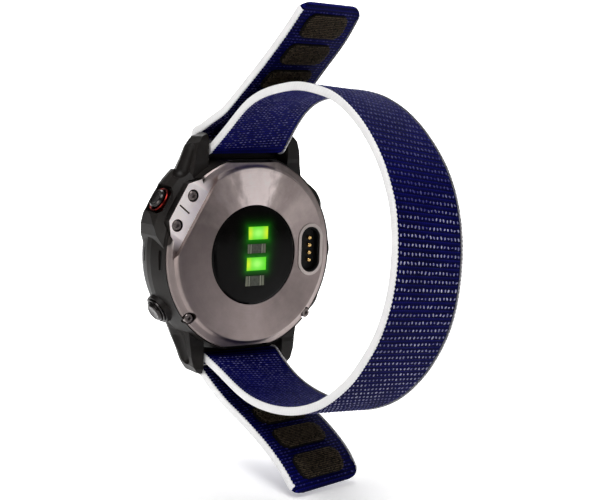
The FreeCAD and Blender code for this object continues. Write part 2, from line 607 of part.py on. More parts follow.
# outline in (radius, distance from the case axis)
BUTTON_OUTLINE = [
    (0.0, 19.6), (("button_stem", -0.1), 19.6), ("button_stem", 19.7), ("button_stem", 19.83), (0.55, 19.83), (0.55, 20.17), ("button_stem", 20.17),
    ("button_stem", 24.85), (("button_cap", -0.1), 24.85), ("button_cap", 24.95), ("button_cap", 26.0), (("button_cap", -0.14), 26.3),
    (("button_cap", -0.45), ("button_face", -0.02)), (("button_cap", -0.75), "button_face"), (("button_cap", -1.1), 26.5), (0.0, 26.42)]
collars, bushings, seals = [], [], []
for tag, ang in BUTTONS.items():
    b = spindle(tag + "_button", BUTTON_OUTLINE, tag + "_button")
    place_radial(b, ang)
    c = spindle(tag + "_clip", [(0.57, 19.85), (1.5, 19.85), (1.5, 20.15), (0.57, 20.15)], tag + "_button_clip")
    place_radial(c, ang)
    ring = spindle(tag + "_collar", [("ring_inner", 24.4), ("ring_outer", 24.4), ("ring_outer", ("ring_face", -0.15)),
                                     (("ring_outer", -0.15), "ring_face"), (("ring_inner", 0.2), "ring_face"), ("ring_inner", ("ring_face", -0.2))])
    place_radial(ring, ang)
    if tag == "start":
        keep(ring, "start_ring")
    else:
        collars.append(ring)
    bu = spindle(tag + "_bushing", [("bushing_inner", 20.45), ("bushing_outer", 20.45), ("bushing_outer", 23.05), ("bushing_inner", 23.05)])
    place_radial(bu, ang)
    bushings.append(bu)
    se = spindle(tag + "_seal", [("bushing_inner", 23.15), (("bushing_outer", -0.1), 23.1), ("bushing_outer", 23.3), ("bushing_outer", 23.65), (("bushing_outer", -0.1), 23.8), ("bushing_inner", 23.75)])
    place_radial(se, ang)
    seals.append(se)
group("button_rings", collars, "button_rings")
group("button_bushings", bushings, "button_bushings")
group("button_seals", seals, "button_seals")

# ---------------------------------------------------------------- lug bars
bars = []
for tag, sz in (("top", 1), ("bottom", -1)):
    b = spindle("lug_bar_" + tag, [
        (0.0, ("lug_pin_reach", 0.0, -1.0)), ("lug_pin_radius", ("lug_pin_reach", 0.0, -1.0)), ("lug_pin_radius", ("lug_gap_half", 0.15, -1.0)),
        ("lug_bar_radius", ("lug_gap_half", 0.15, -1.0)), ("lug_bar_radius", ("lug_gap_half", -0.15)), ("lug_pin_radius", ("lug_gap_half", -0.15)),
        ("lug_pin_radius", "lug_pin_reach"), (0.0, "lug_pin_reach")])
    b.Placement = FreeCAD.Placement(V(0, S["lug_bar_y"], sz * S["lug_bar_z"]), FreeCAD.Rotation(V(0, 0, 1), V(1, 0, 0)))
    bars.append(b)
group("lug_bars", bars, "lug_bars")

# ---------------------------------------------------------------- fabric band
# Side-on outlines of the band's outer face, (distance towards the wrist, height),
# at its two edges. The band is a ruled strip between them. w = -y.
NEAR = [(-4.85, 25.61), (3.2, 31.5), (11.2, 37.2), (17.2, 39.6), (23.4, 40.9), (30.2, 41.6), (36.7, 41.1), (42.6, 39.9), (47.8, 37.6),
        (52.6, 34.4), (56.6, 30.7), (59.6, 27.1), (62.1, 22.9), (64.0, 18.5), (65.0, 13.9), (65.4, 9.0), (64.9, 2.4), (62.6, -5.6),
        (59.9, -10.8), (56.7, -15.1), (52.9, -19.5), (48.4, -23.3), (43.3, -26.7), (37.5, -29.3), (31.6, -31.0), (25.6, -31.9), (19.2, -32.1),
        (12.8, -31.3), (7.0, -29.6), (1.6, -27.6), (-5.18, -25.45)]
FAR = [(-4.65, 25.81), (-0.8, 30.6), (4.0, 35.4), (9.0, 38.2), (15.0, 39.6), (20.0, 40.1), (25.5, 40.1), (32.0, 39.4), (39.4, 37.2), (44.9, 34.4),
       (50.3, 30.4), (53.7, 27.1), (56.7, 23.3), (59.0, 19.0), (60.6, 14.2), (61.5, 8.1), (61.4, 1.8), (60.4, -4.6), (58.7, -9.6),
       (56.2, -14.3), (53.1, -18.7), (49.3, -22.7), (44.2, -26.8), (38.2, -30.0), (31.8, -32.2), (25.6, -33.3), (19.0, -33.4), (11.6, -32.7),
       (5.0, -31.0), (-0.2, -28.6), (-4.91, -25.57)]
TAB_TOP_L = [(-9.2, 28.9), (-4.2, 31.1), (0.6, 33.2), (6.3, 37.0), (13.4, 42.3), (18.5, 46.2), (23.5, 50.3), (28.3, 54.5), (31.9, 58.0)]
TAB_TOP_R = [(-9.2, 28.9), (-4.8, 31.2), (-0.2, 34.1), (4.6, 38.1), (9.2, 42.3), (15.1, 47.4), (19.1, 51.0), (22.3, 54.6), (24.9, 58.0)]
TAB_LOW_L = [(-6.1, -27.45), (-1.0, -30.3), (4.5, -32.9), (11.8, -35.5), (18.5, -38.1), (25.0, -41.1), (30.5, -44.5), (34.6, -47.9)]
TAB_LOW_R = [(-6.2, -27.40), (-1.0, -30.9), (4.5, -33.7), (10.2, -35.7), (15.7, -37.6), (22.1, -40.6), (27.0, -44.0), (30.2, -47.9)]


def resample(pts, n):
    """n points evenly spaced along a smooth curve through pts."""
    c = Part.BSplineCurve()
    c.interpolate([V(a, b, 0) for a, b in pts])
    e = c.toShape()
    return [(p.x, p.y) for p in e.discretize(n)]


def wrap(centre_z, a0, a1, n):
    """Points round the lug bar, between two angles in the side-on plane."""
    r = S["lug_bar_radius"] + S["bar_clear"]
    return [(-S["lug_bar_y"] + r * math.cos(math.radians(a0 + (a1 - a0) * i / (n - 1))),
             centre_z + r * math.sin(math.radians(a0 + (a1 - a0) * i / (n - 1)))) for i in range(n)]


def loop_line(pts, n, top_angle, low_angle):
    """The loop's traced face: round the top bar, along the loop, round the bottom bar."""
    mid = resample(pts, n)[1:-1]
    return wrap(S["lug_bar_z"], 244.0, top_angle, 9) + mid + wrap(-S["lug_bar_z"], low_angle, 118.0, 9)


def offset(pts, d):
    """Points moved d to the right of the way the curve runs."""
    out = []
    for i, (a, b) in enumerate(pts):
        a0, b0 = pts[max(i - 1, 0)]
        a1, b1 = pts[min(i + 1, len(pts) - 1)]
        tx, ty = a1 - a0, b1 - b0
        n = math.hypot(tx, ty)
        out.append((a + ty / n * d, b - tx / n * d))
    return out


def mix(p, q, f):
    return [(a[0] + (b[0] - a[0]) * f, a[1] + (b[1] - a[1]) * f) for a, b in zip(p, q)]


def section(outer, inner, x):
    """Closed outline in the plane x: a smooth edge out, a straight end, a smooth edge back."""
    def to3(p):
        return V(x, -p[0], p[1])
    a = Part.BSplineCurve()
    a.interpolate([to3(p) for p in outer])
    b = Part.BSplineCurve()
    b.interpolate([to3(p) for p in reversed(inner)])
    return Part.Wire([a.toShape(), Part.makeLine(to3(outer[-1]), to3(inner[-1])), b.toShape(),
                      Part.makeLine(to3(inner[0]), to3(outer[0]))])


def strip(near, far, x0, x1, out0, out1, n):
    """A strip between x0 and x1; its faces lie out0 and out1 from the traced face."""
    if near is NEAR:
        p, q = loop_line(near, n, 306.0, 73.0), loop_line(far, n, 321.0, 58.0)
    else:
        p, q = resample(near, n), resample(far, n)
    wires = []
    for x in (x0, x1):
        f = (x + S["band_half"]) / (2 * S["band_half"])
        m = mix(p, q, f)
        wires.append(section(offset(m, out0), offset(m, out1), x))
    return Part.makeLoft(wires, True, True)


def feature(shape, label):
    o = doc.addObject("Part::Feature", label)
    o.Shape = shape
    o.Placement = FreeCAD.Placement(V(0, 0, 0), FreeCAD.Rotation())
    return keep(o, label)


H, E, T, B = S["band_half"], S["band_edge"], S["band_thick"], S["binding_thick"]
ex = (B - T) / 2
# the loop runs clockwise seen from -X, so the wrist side is to its right
loop_shape = strip(NEAR, FAR, -(H - E), H - E, 0.0, T, 61)
feature(loop_shape, "band_loop")
feature(Part.makeCompound([strip(NEAR, FAR, -H, -(H - E) - 0.0, -0.0, T + 2 * ex, 61), strip(NEAR, FAR, H - E, H, 0.0, T + 2 * ex, 61)]), "band_edging")

PAD_POS_TOP = [6.0, 15.2, 24.4]
PAD_POS_LOW = [6.0, 15.2, 24.4]


def tab(name, left, right, sign, pads):
    # sign +1: the face towards the loop is the traced one and the tab lies beyond it
    n = 25
    feature(strip(left, right, -(H - E), H - E, 0.0, -sign * T, n), name)
    feature(Part.makeCompound([strip(left, right, -H, -(H - E), 0.0, -sign * B, n),
                               strip(left, right, H - E, H, 0.0, -sign * B, n)]), name + "_edging")
    solids = []
    for s in pads:
        # the pad's middle, measured back from the tab's end along its mean line
        m = mix(resample(left, 101), resample(right, 101), 0.5)
        run, k = 0.0, 100
        while run < s and k > 1:
            run += math.hypot(m[k][0] - m[k - 1][0], m[k][1] - m[k - 1][1])
            k -= 1
        l, r = resample(left, 101)[k], resample(right, 101)[k]
        ahead_l, ahead_r = resample(left, 101)[min(k + 3, 100)], resample(right, 101)[min(k + 3, 100)]
        back_l, back_r = resample(left, 101)[k - 3], resample(right, 101)[k - 3]
        across = V(2 * H, -(r[0] - l[0]), r[1] - l[1])
        across.normalize()
        along = V(0, -((ahead_l[0] + ahead_r[0]) - (back_l[0] + back_r[0])) / 2, ((ahead_l[1] + ahead_r[1]) - (back_l[1] + back_r[1])) / 2)
        along = along - across * along.dot(across)
        along.normalize()
        up = across.cross(along)
        towards = V(0, 0, -sign)
        if up.dot(towards) < 0:
            up = up * -1
        c = V(0, -(l[0] + r[0]) / 2, (l[1] + r[1]) / 2) + up * 0.12
        w, hl = S["pad_half_w"], S["pad_half_l"]
        a1 = c - across * (w - hl)
        a2 = c + across * (w - hl)
        edges = [Part.makeLine(a1 + along * hl, a2 + along * hl),
                 Part.Arc(a2 + along * hl, a2 + across * hl, a2 - along * hl).toShape(),
                 Part.makeLine(a2 - along * hl, a1 - along * hl),
                 Part.Arc(a1 - along * hl, a1 - across * hl, a1 + along * hl).toShape()]
        solids.append(Part.Face(Part.Wire(edges)).extrude(up * S["pad_thick"]))
    feature(Part.makeCompound(solids), name + "_hooks")


tab("tab_top", TAB_TOP_L, TAB_TOP_R, 1, PAD_POS_TOP)
tab("tab_bottom", TAB_LOW_L, TAB_LOW_R, -1, PAD_POS_LOW)

doc.recompute()

# ---------------------------------------------------------------- checks and files
bad = []
for o in doc.Objects:
    if "Invalid" in o.State or "Error" in o.State:
        bad.append("%s %s" % (o.Name, o.State))
for o in NODES:
    if o.Shape.isNull() or not o.Shape.isValid() or not o.Shape.Solids:
        bad.append("%s shape" % o.Label)
if bad:
    raise RuntimeError("; ".join(bad))
if len(set(o.Label for o in NODES)) != len(NODES):
    raise RuntimeError("two pieces share a name")

os.makedirs("parts", exist_ok=True)
for o in NODES:
    o.Shape.exportStep("parts/%s.step" % o.Label)
    bb = o.Shape.BoundBox
    print("%-20s solids %2d vol %9.2f  x %6.2f %6.2f  y %6.2f %6.2f  z %6.2f %6.2f" % (
        o.Label, len(o.Shape.Solids), o.Shape.Volume, bb.XMin, bb.XMax, bb.YMin, bb.YMax, bb.ZMin, bb.ZMax))
print(len(NODES), "pieces")
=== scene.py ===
import math
import bpy
import numpy as np
from mathutils import Matrix, Vector


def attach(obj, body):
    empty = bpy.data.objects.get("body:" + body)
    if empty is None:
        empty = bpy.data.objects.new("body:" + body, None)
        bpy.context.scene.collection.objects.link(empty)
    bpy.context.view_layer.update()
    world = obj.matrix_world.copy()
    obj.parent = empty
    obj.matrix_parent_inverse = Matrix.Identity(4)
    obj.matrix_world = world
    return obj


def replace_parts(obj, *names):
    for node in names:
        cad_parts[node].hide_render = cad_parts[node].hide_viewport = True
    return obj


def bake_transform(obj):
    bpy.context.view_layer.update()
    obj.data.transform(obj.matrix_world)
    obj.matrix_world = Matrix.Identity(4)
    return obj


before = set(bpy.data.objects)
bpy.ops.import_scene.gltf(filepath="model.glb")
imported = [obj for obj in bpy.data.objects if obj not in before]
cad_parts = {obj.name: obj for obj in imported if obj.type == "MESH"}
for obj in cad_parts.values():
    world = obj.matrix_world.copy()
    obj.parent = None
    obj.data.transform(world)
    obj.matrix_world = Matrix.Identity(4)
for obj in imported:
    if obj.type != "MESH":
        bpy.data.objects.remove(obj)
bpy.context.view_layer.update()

MM = 0.001
rng = np.random.default_rng(7)
scene = bpy.context.scene

# ------------------------------------------------------------------ sizes, mm
H, EDGE, T, B = 10.8, 0.8, 1.5, 1.8
BAR_W, BAR_Z, BAR_R = -5.5, 26.5, 1.15

# Side-on lines of the band, (distance towards the wrist, height), at its two edges.
NEAR = [(-4.85, 25.61), (3.2, 31.5), (11.2, 37.2), (17.2, 39.6), (23.4, 40.9), (30.2, 41.6), (36.7, 41.1), (42.6, 39.9), (47.8, 37.6),
        (52.6, 34.4), (56.6, 30.7), (59.6, 27.1), (62.1, 22.9), (64.0, 18.5), (65.0, 13.9), (65.4, 9.0), (64.9, 2.4), (62.6, -5.6),
        (59.9, -10.8), (56.7, -15.1), (52.9, -19.5), (48.4, -23.3), (43.3, -26.7), (37.5, -29.3), (31.6, -31.0), (25.6, -31.9), (19.2, -32.1),
        (12.8, -31.3), (7.0, -29.6), (1.6, -27.6), (-5.18, -25.45)]
FAR = [(-4.65, 25.81), (-0.8, 30.6), (4.0, 35.4), (9.0, 38.2), (15.0, 39.6), (20.0, 40.1), (25.5, 40.1), (32.0, 39.4), (39.4, 37.2), (44.9, 34.4),
       (50.3, 30.4), (53.7, 27.1), (56.7, 23.3), (59.0, 19.0), (60.6, 14.2), (61.5, 8.1), (61.4, 1.8), (60.4, -4.6), (58.7, -9.6),
       (56.2, -14.3), (53.1, -18.7), (49.3, -22.7), (44.2, -26.8), (38.2, -30.0), (31.8, -32.2), (25.6, -33.3), (19.0, -33.4), (11.6, -32.7),
       (5.0, -31.0), (-0.2, -28.6), (-4.91, -25.57)]
TAB_TOP_L = [(-9.2, 28.9), (-4.2, 31.1), (0.6, 33.2), (6.3, 37.0), (13.4, 42.3), (18.5, 46.2), (23.5, 50.3), (28.3, 54.5), (31.9, 58.0)]
TAB_TOP_R = [(-9.2, 28.9), (-4.8, 31.2), (-0.2, 34.1), (4.6, 38.1), (9.2, 42.3), (15.1, 47.4), (19.1, 51.0), (22.3, 54.6), (24.9, 58.0)]
TAB_LOW_L = [(-6.1, -27.45), (-1.0, -30.3), (4.5, -32.9), (11.8, -35.5), (18.5, -38.1), (25.0, -41.1), (30.5, -44.5), (34.6, -47.9)]
TAB_LOW_R = [(-6.2, -27.40), (-1.0, -30.9), (4.5, -33.7), (10.2, -35.7), (15.7, -37.6), (22.1, -40.6), (27.0, -44.0), (30.2, -47.9)]


# ------------------------------------------------------------------ curves
def spline(pts, n):
    """n points, evenly spaced, on a natural cubic through pts."""
    p = np.array(pts, float)
    t = np.concatenate([[0], np.cumsum(np.hypot(*(np.diff(p, axis=0).T)))])
    k = len(p)
    h = np.diff(t)
    a = np.zeros((k, k))
    b = np.zeros((k, 2))
    a[0, 0] = a[-1, -1] = 1
    for i in range(1, k - 1):
        a[i, i - 1], a[i, i], a[i, i + 1] = h[i - 1], 2 * (h[i - 1] + h[i]), h[i]
        b[i] = 6 * ((p[i + 1] - p[i]) / h[i] - (p[i] - p[i - 1]) / h[i - 1])
    m = np.linalg.solve(a, b)
    u = np.linspace(0, t[-1], 4000)
    i = np.clip(np.searchsorted(t, u) - 1, 0, k - 2)
    d0, d1 = (t[i + 1] - u)[:, None], (u - t[i])[:, None]
    hh = h[i][:, None]
    q = (m[i] * d0 ** 3 + m[i + 1] * d1 ** 3) / (6 * hh) + (p[i] / hh - m[i] * hh / 6) * d0 + (p[i + 1] / hh - m[i + 1] * hh / 6) * d1
    s = np.concatenate([[0], np.cumsum(np.hypot(*(np.diff(q, axis=0).T)))])
    v = np.linspace(0, s[-1], n)
    return np.stack([np.interp(v, s, q[:, 0]), np.interp(v, s, q[:, 1])], axis=1)


def arc(cz, a0, a1, n):
    a = np.radians(np.linspace(a0, a1, n))
    return np.stack([BAR_W + BAR_R * np.cos(a), cz + BAR_R * np.sin(a)], axis=1)


class Strap:
    """A ruled strip between a line at x = -H and one at x = +H.
    s runs along it, x across it, t is the distance to the right of the way it runs."""

    def __init__(self, near, far):
        self.near, self.far = near, far
        mid = (near + far) / 2
        self.s = np.concatenate([[0], np.cumsum(np.hypot(*(np.diff(mid, axis=0).T)))])
        self.length = self.s[-1]

    def line(self, x, s):
        f = (np.asarray(x) + H) / (2 * H)
        out = []
        for c in (0, 1):
            a, b = np.interp(s, self.s, self.near[:, c]), np.interp(s, self.s, self.far[:, c])
            out.append(a + (b - a) * f)
        return out

    def point(self, x, s, t):
        x, s, t = np.broadcast_arrays(np.asarray(x, float), np.asarray(s, float), np.asarray(t, float))
        e = 0.12
        w, z = self.line(x, s)
        w0, z0 = self.line(x, np.clip(s - e, 0, self.length))
        w1, z1 = self.line(x, np.clip(s + e, 0, self.length))
        tw, tz = w1 - w0, z1 - z0
        n = np.hypot(tw, tz)
        w, z = w + tz / n * t, z - tw / n * t
        return np.stack([x, -w, z], axis=-1)


def with_arcs(parts):
    return np.concatenate([parts[0]] + [p[1:] for p in parts[1:]])


LOOP = Strap(with_arcs([arc(BAR_Z, 244, 306, 30), spline(NEAR, 900), arc(-BAR_Z, 73, 118, 24)]),
             with_arcs([arc(BAR_Z, 244, 321, 30), spline(FAR, 900), arc(-BAR_Z, 58, 118, 24)]))
# the upper strap stands off its bar in a slack turn before it runs out
TURN = [(-6.0, 25.47), (-7.6, 25.95), (-9.4, 26.55), (-10.7, 27.15), (-11.15, 27.85), (-10.55, 28.45)]
TOP = Strap(spline(TURN + TAB_TOP_L, 420), spline(TURN + TAB_TOP_R, 420))
LOW = Strap(with_arcs([arc(-BAR_Z, 118, 240.8, 50), spline(TAB_LOW_L, 300)]),
            with_arcs([arc(-BAR_Z, 118, 236.5, 50), spline(TAB_LOW_R, 300)]))


# ------------------------------------------------------------------ meshes
def mesh_object(name, verts, faces, uvs=None, mats=(), face_mats=None, smooth=True):
    me = bpy.data.meshes.new(name)
    me.from_pydata((np.asarray(verts) * MM).tolist(), [], faces)
    if uvs is not None:
        layer = me.uv_layers.new(name="weave")
        idx = np.empty(len(me.loops), dtype=np.int32)
        me.loops.foreach_get("vertex_index", idx)
        layer.data.foreach_set("uv", np.asarray(uvs, dtype=np.float32)[idx].ravel())
    for m in mats:
        me.materials.append(m)
    if face_mats is not None:
        me.polygons.foreach_set("material_index", np.asarray(face_mats, dtype=np.int32))
    me.polygons.foreach_set("use_smooth", np.full(len(me.polygons), smooth))
    me.update()
    o = bpy.data.objects.new(name, me)
    scene.collection.objects.link(o)
    return o


def tube_grid(rows, cols, close_ends=True):
    """Quads of a grid of rows x cols points whose columns close on themselves, with end caps."""
    r, c = np.meshgrid(np.arange(rows - 1), np.arange(cols), indexing="ij")
    a = r * cols + c
    b = r * cols + (c + 1) % cols
    f = np.stack([a, b, b + cols, a + cols], axis=-1).reshape(-1, 4).tolist()
    if close_ends:
        f.append(list(range(cols))[::-1])
        f.append([(rows - 1) * cols + i for i in range(cols)])
    return f


def strap_body(name, strap, t0, t1, step, mats, round_end=0.0, rib=0.05, rib_pitch=0.915, s_end=None):
    """The woven core: a closed strip with softly rounded edges and crosswise ribs on both faces."""
    L = strap.length if s_end is None else s_end
    rows = int(L / step) + 1
    s = np.linspace(0, L, rows)
    half = np.full(rows, H - EDGE + 0.15)
    if round_end:
        k = s > L - round_end
        half[k] = H - 0.15 - round_end + np.sqrt(np.clip(round_end ** 2 - (s[k] - (L - round_end)) ** 2, 0, None))
        # the last rows close to the rounded end, never to a point
        half[k] = np.minimum(half[k], H - 0.15)
        blend_in = np.clip((s - (L - round_end - 1.2)) / 1.2, 0, 1)
        half = np.where(k, half, (H - EDGE + 0.15) + (EDGE - 0.3) * blend_in)
    n = 40
    xi = np.linspace(-1, 1, n)
    cols_x, cols_k = [], []
    for v in xi:
        cols_x.append(v), cols_k.append(0)
    for v in xi[::-1]:
        cols_x.append(v), cols_k.append(1)
    cols_x, cols_k = np.array(cols_x), np.array(cols_k)
    x = half[:, None] * cols_x[None, :]
    ss = np.repeat(s[:, None], len(cols_x), 1)
    sgn = 1 if t1 > t0 else -1
    wave = rib * (0.5 + 0.5 * np.cos(2 * math.pi * ss / rib_pitch)) + 0.02 * np.cos(2 * math.pi * x / 1.17 + np.where((ss / rib_pitch).astype(int) % 2 == 0, 0, math.pi))
    soft = 0.16 * np.clip((np.abs(cols_x[None, :]) - 0.94) / 0.06, 0, 1) ** 2
    t = np.where(cols_k[None, :] == 0, t0 + sgn * (rib + 0.02 - wave + soft), t1 - sgn * (rib + 0.02 - wave + soft))
    if round_end:
        pinch = np.clip((ss - (L - 1.3)) / 1.3, 0, 1) ** 2 * 0.32
        t = np.where(cols_k[None, :] == 0, t + sgn * pinch, t - sgn * pinch)
    p = strap.point(x, ss, t)
    cols = len(cols_x)
    faces = tube_grid(rows, cols)
    fm = np.zeros(len(faces), int)
    c = np.tile(np.arange(cols), rows - 1)
    fm[:len(c)] = np.where(c < n, 0, 1)
    uv = np.stack([x, ss], axis=-1).reshape(-1, 2)
    return mesh_object(name, p.reshape(-1, 3), faces, uv, mats, fm)


def strap_binding(name, strap, side, t0, t1, step, mats, s_end=None, lap=0.66, round_end=0.0):
    """The white edge tape: wraps the strip's edge, its laps cut into small teeth by the overlocking."""
    L = strap.length if s_end is None else s_end
    rows = int(L / step) + 1
    s = np.linspace(0, L, rows)
    sgn = 1 if t1 > t0 else -1
    lo, hi = min(t0, t1), max(t0, t1)
    mid, ht = (lo + hi) / 2, (hi - lo) / 2
    # outline, (distance in from the edge, height from the middle) in shares
    prof = [(lap, -0.96, 1), (lap - 0.1, -1.06, 1), (0.36, -1.1, 0), (0.16, -1.0, 0), (0.04, -0.72, 0), (0.0, -0.3, 0), (0.0, 0.3, 0), (0.04, 0.72, 0),
            (0.16, 1.0, 0), (0.36, 1.1, 0), (lap - 0.1, 1.06, 1), (lap, 0.96, 1), (lap - 0.3, 0.84, 0), (lap - 0.3, -0.84, 0)]
    d = np.array([q[0] for q in prof])
    k = np.array([q[1] for q in prof])
    tooth = np.array([q[2] for q in prof])
    ph = (s / 0.92) % 1.0
    saw = np.where(ph < 0.5, ph * 2, 2 - ph * 2) * 0.34 + rng.normal(0, 0.03, rows)
    wob = 0.02 * np.sin(s / 7.3) + 0.015 * np.sin(s / 2.9 + 1)
    thread = 0.028 * np.cos(2 * math.pi * s / 0.46)
    dist = d[None, :] + tooth[None, :] * (saw[:, None] - 0.17)
    edge = np.full(rows, H)
    if round_end:
        q = s > strap.length - round_end
        edge[q] = H - round_end + np.sqrt(np.clip(round_end ** 2 - (s[q] - (strap.length - round_end)) ** 2, 0, None))
    x = side * (edge[:, None] - dist + wob[:, None] + thread[:, None] * (1 - tooth[None, :]))
    x = np.clip(x, -H - 0.05, H + 0.05)
    t = mid + k[None, :] * (ht + thread[:, None] * 0.5)
    p = strap.point(x, np.repeat(s[:, None], len(prof), 1), t)
    around = np.cumsum(np.concatenate([[0], np.hypot(np.diff(d), np.diff(k) * ht)]))
    uv = np.stack(np.broadcast_arrays(around[None, :] + side * 20, s[:, None]), axis=-1).reshape(-1, 2)
    return mesh_object(name, p.reshape(-1, 3), tube_grid(rows, len(prof)), uv, mats)


def bead(nu=6, nv=4):
    """A small closed rounded bead of unit size lying along its first axis."""
    v, f = [(1, 0, 0)], []
    for i in range(1, nv):
        a = math.pi * i / nv
        for j in range(nu):
            b = 2 * math.pi * j / nu
            v.append((math.cos(a), math.sin(a) * math.cos(b), math.sin(a) * math.sin(b)))
    v.append((-1, 0, 0))
    for j in range(nu):
        f.append((0, 1 + j, 1 + (j + 1) % nu))
        last = 1 + (nv - 2) * nu
        f.append((len(v) - 1, last + (j + 1) % nu, last + j))
    for i in range(nv - 2):
        for j in range(nu):
            a, b = 1 + i * nu + j, 1 + i * nu + (j + 1) % nu
            f.append((a, a + nu, b + nu, b))
    return np.array(v, float), f


BEAD_V, BEAD_F = bead()


def stitches(name, strap, rows, xs, t, out, size, along, mats, jitter=0.12, keep=None, tilt=0.35):
    """Short yarn floats lying on a face. size is (half length, half width, half height);
    along is True where they lie along the strap, False where across it."""
    V, F = [], []
    for r in rows:
        for x in xs:
            if keep is not None and not keep(x, r):
                continue
            a, b = x + rng.normal(0, jitter * 0.5), r + rng.normal(0, jitter * 0.4)
            if abs(a) > H - EDGE - 0.45:
                continue
            o = strap.point([a, a + 0.3, a], [b, b, min(b + 0.3, strap.length)], [t, t, t])
            ex, es = o[1] - o[0], o[2] - o[0]
            ex /= np.linalg.norm(ex)
            es /= np.linalg.norm(es)
            n = np.cross(ex, es)
            n /= np.linalg.norm(n)
            up = (strap.point(a, b, t + out * 0.1) - o[0])
            if np.dot(n, up) < 0:
                n = -n
            th = rng.normal(0, tilt)
            u = (es if along else ex)
            w = (ex if along else es)
            u, w = u * math.cos(th) + w * math.sin(th), w * math.cos(th) - u * math.sin(th)
            sc = 1 + rng.normal(0, 0.14)
            m = np.stack([u * size[0] * sc, w * size[1] * sc, n * size[2]], axis=0)
            F.extend([tuple(i + len(V) * len(BEAD_V) for i in f) for f in BEAD_F])
            V.append(BEAD_V @ m + o[0] + n * size[2] * 0.1)
    return mesh_object(name, np.concatenate(V), F, None, mats)


# ------------------------------------------------------------------ materials
class Mat:
    """A small wrapper round a node tree."""

    def __init__(self, name, **sockets):
        self.m = bpy.data.materials.new(name)
        self.m.use_nodes = True
        self.t = self.m.node_tree
        self.b = self.t.nodes["Principled BSDF"]
        self.set(**sockets)

    def set(self, **sockets):
        for k, v in sockets.items():
            self.b.inputs[k.replace("_", " ")].default_value = v

    def node(self, kind, inputs=(), **props):
        n = self.t.nodes.new(kind)
        for k, v in props.items():
            setattr(n, k, v)
        for i, v in (inputs.items() if isinstance(inputs, dict) else enumerate(inputs)):
            if v is None:
                continue
            if isinstance(v, bpy.types.NodeSocket):
                self.t.links.new(v, n.inputs[i])
            else:
                n.inputs[i].default_value = v
        return n

    def math(self, op, a, b=0.0, clamp=False):
        return self.node("ShaderNodeMath", [a, b], operation=op, use_clamp=clamp).outputs[0]

    def uv(self):
        n = self.node("ShaderNodeUVMap", uv_map="weave")
        s = self.node("ShaderNodeSeparateXYZ", [n.outputs[0]])
        return s.outputs[0], s.outputs[1], n.outputs[0]

    def obj(self):
        """Object coordinates in mm."""
        n = self.node("ShaderNodeTexCoord")
        v = self.node("ShaderNodeVectorMath", [n.outputs["Object"]], operation="SCALE")
        v.inputs["Scale"].default_value = 1000.0
        return v.outputs[0]

    def noise(self, vec, scale, detail=3.0, rough=0.5, stretch=None):
        if stretch is not None:
            vec = self.node("ShaderNodeVectorMath", [vec, stretch], operation="MULTIPLY").outputs[0]
        n = self.node("ShaderNodeTexNoise", {"Vector": vec, "Scale": scale, "Detail": detail, "Roughness": rough})
        return n.outputs["Fac"]

    def ramp(self, fac, stops):
        n = self.node("ShaderNodeValToRGB", [fac])
        e = n.color_ramp.elements
        while len(e) < len(stops):
            e.new(0.5)
        for el, (p, c) in zip(e, stops):
            el.position = p
            el.color = (*c, 1) if len(c) == 3 else c
        return n.outputs[0]

    def mix(self, fac, a, b):
        n = self.node("ShaderNodeMix", data_type="RGBA")
        for sock, v in ((n.inputs[0], fac), (n.inputs[6], a), (n.inputs[7], b)):
            if isinstance(v, bpy.types.NodeSocket):
                self.t.links.new(v, sock)
            else:
                sock.default_value = (*v, 1) if isinstance(v, tuple) and len(v) == 3 else v
        return n.outputs[2]

    def link(self, out, socket):
        self.t.links.new(out, self.b.inputs[socket])

    def bump(self, height, strength, dist, under=None):
        n = self.node("ShaderNodeBump", {"Strength": strength, "Distance": dist, "Height": height})
        if under is not None:
            self.t.links.new(under, n.inputs["Normal"])
        self.link(n.outputs[0], "Normal")
        return n.outputs[0]


def wave(m, c, pitch, phase=0.0):
    """0..1 cosine of a coordinate in mm."""
    a = m.math("MULTIPLY_ADD", c, 2 * math.pi / pitch)
    a.node.inputs[2].default_value = phase
    s = m.math("SINE", a)
    return m.math("MULTIPLY_ADD", s, 0.5) if False else m.math("ADD", m.math("MULTIPLY", s, 0.5), 0.5)


def weave_material(name, dark, mid, light, sheen):
    m = Mat(name, Roughness=0.82, Sheen_Weight=sheen, Sheen_Roughness=0.45, Specular_IOR_Level=0.05)
    m.b.inputs["Sheen Tint"].default_value = (0.45, 0.5, 1.0, 1)
    u, v, vec = m.uv()
    warp = wave(m, u, 0.58)
    weft = wave(m, v, 0.4575)
    cell = m.math("MULTIPLY", warp, weft)
    row = wave(m, v, 0.915)
    fib = m.noise(vec, 3.2, 4.0, 0.65, (1.0, 3.0, 1.0))
    big = m.noise(vec, 0.09, 3.0, 0.55)
    h = m.math("ADD", m.math("MULTIPLY", cell, 0.45), m.math("ADD", m.math("MULTIPLY", row, 0.42), m.math("MULTIPLY", fib, 0.35)))
    tone = m.math("ADD", m.math("MULTIPLY", h, 0.75), m.math("MULTIPLY", big, 0.3))
    m.link(m.ramp(tone, [(0.18, dark), (0.52, mid), (0.9, light)]), "Base Color")
    m.link(m.math("ADD", m.math("MULTIPLY", fib, 0.2), 0.68), "Roughness")
    m.bump(h, 0.8, 0.00012)
    return m.m


NAVY_OUT = weave_material("navy_weave_outer", (0.0002, 0.0002, 0.006), (0.0006, 0.0007, 0.038), (0.005, 0.0055, 0.15), 0.0)
NAVY_IN = weave_material("navy_weave_inner", (0.0002, 0.0002, 0.008), (0.0009, 0.0011, 0.050), (0.010, 0.011, 0.22), 0.0)


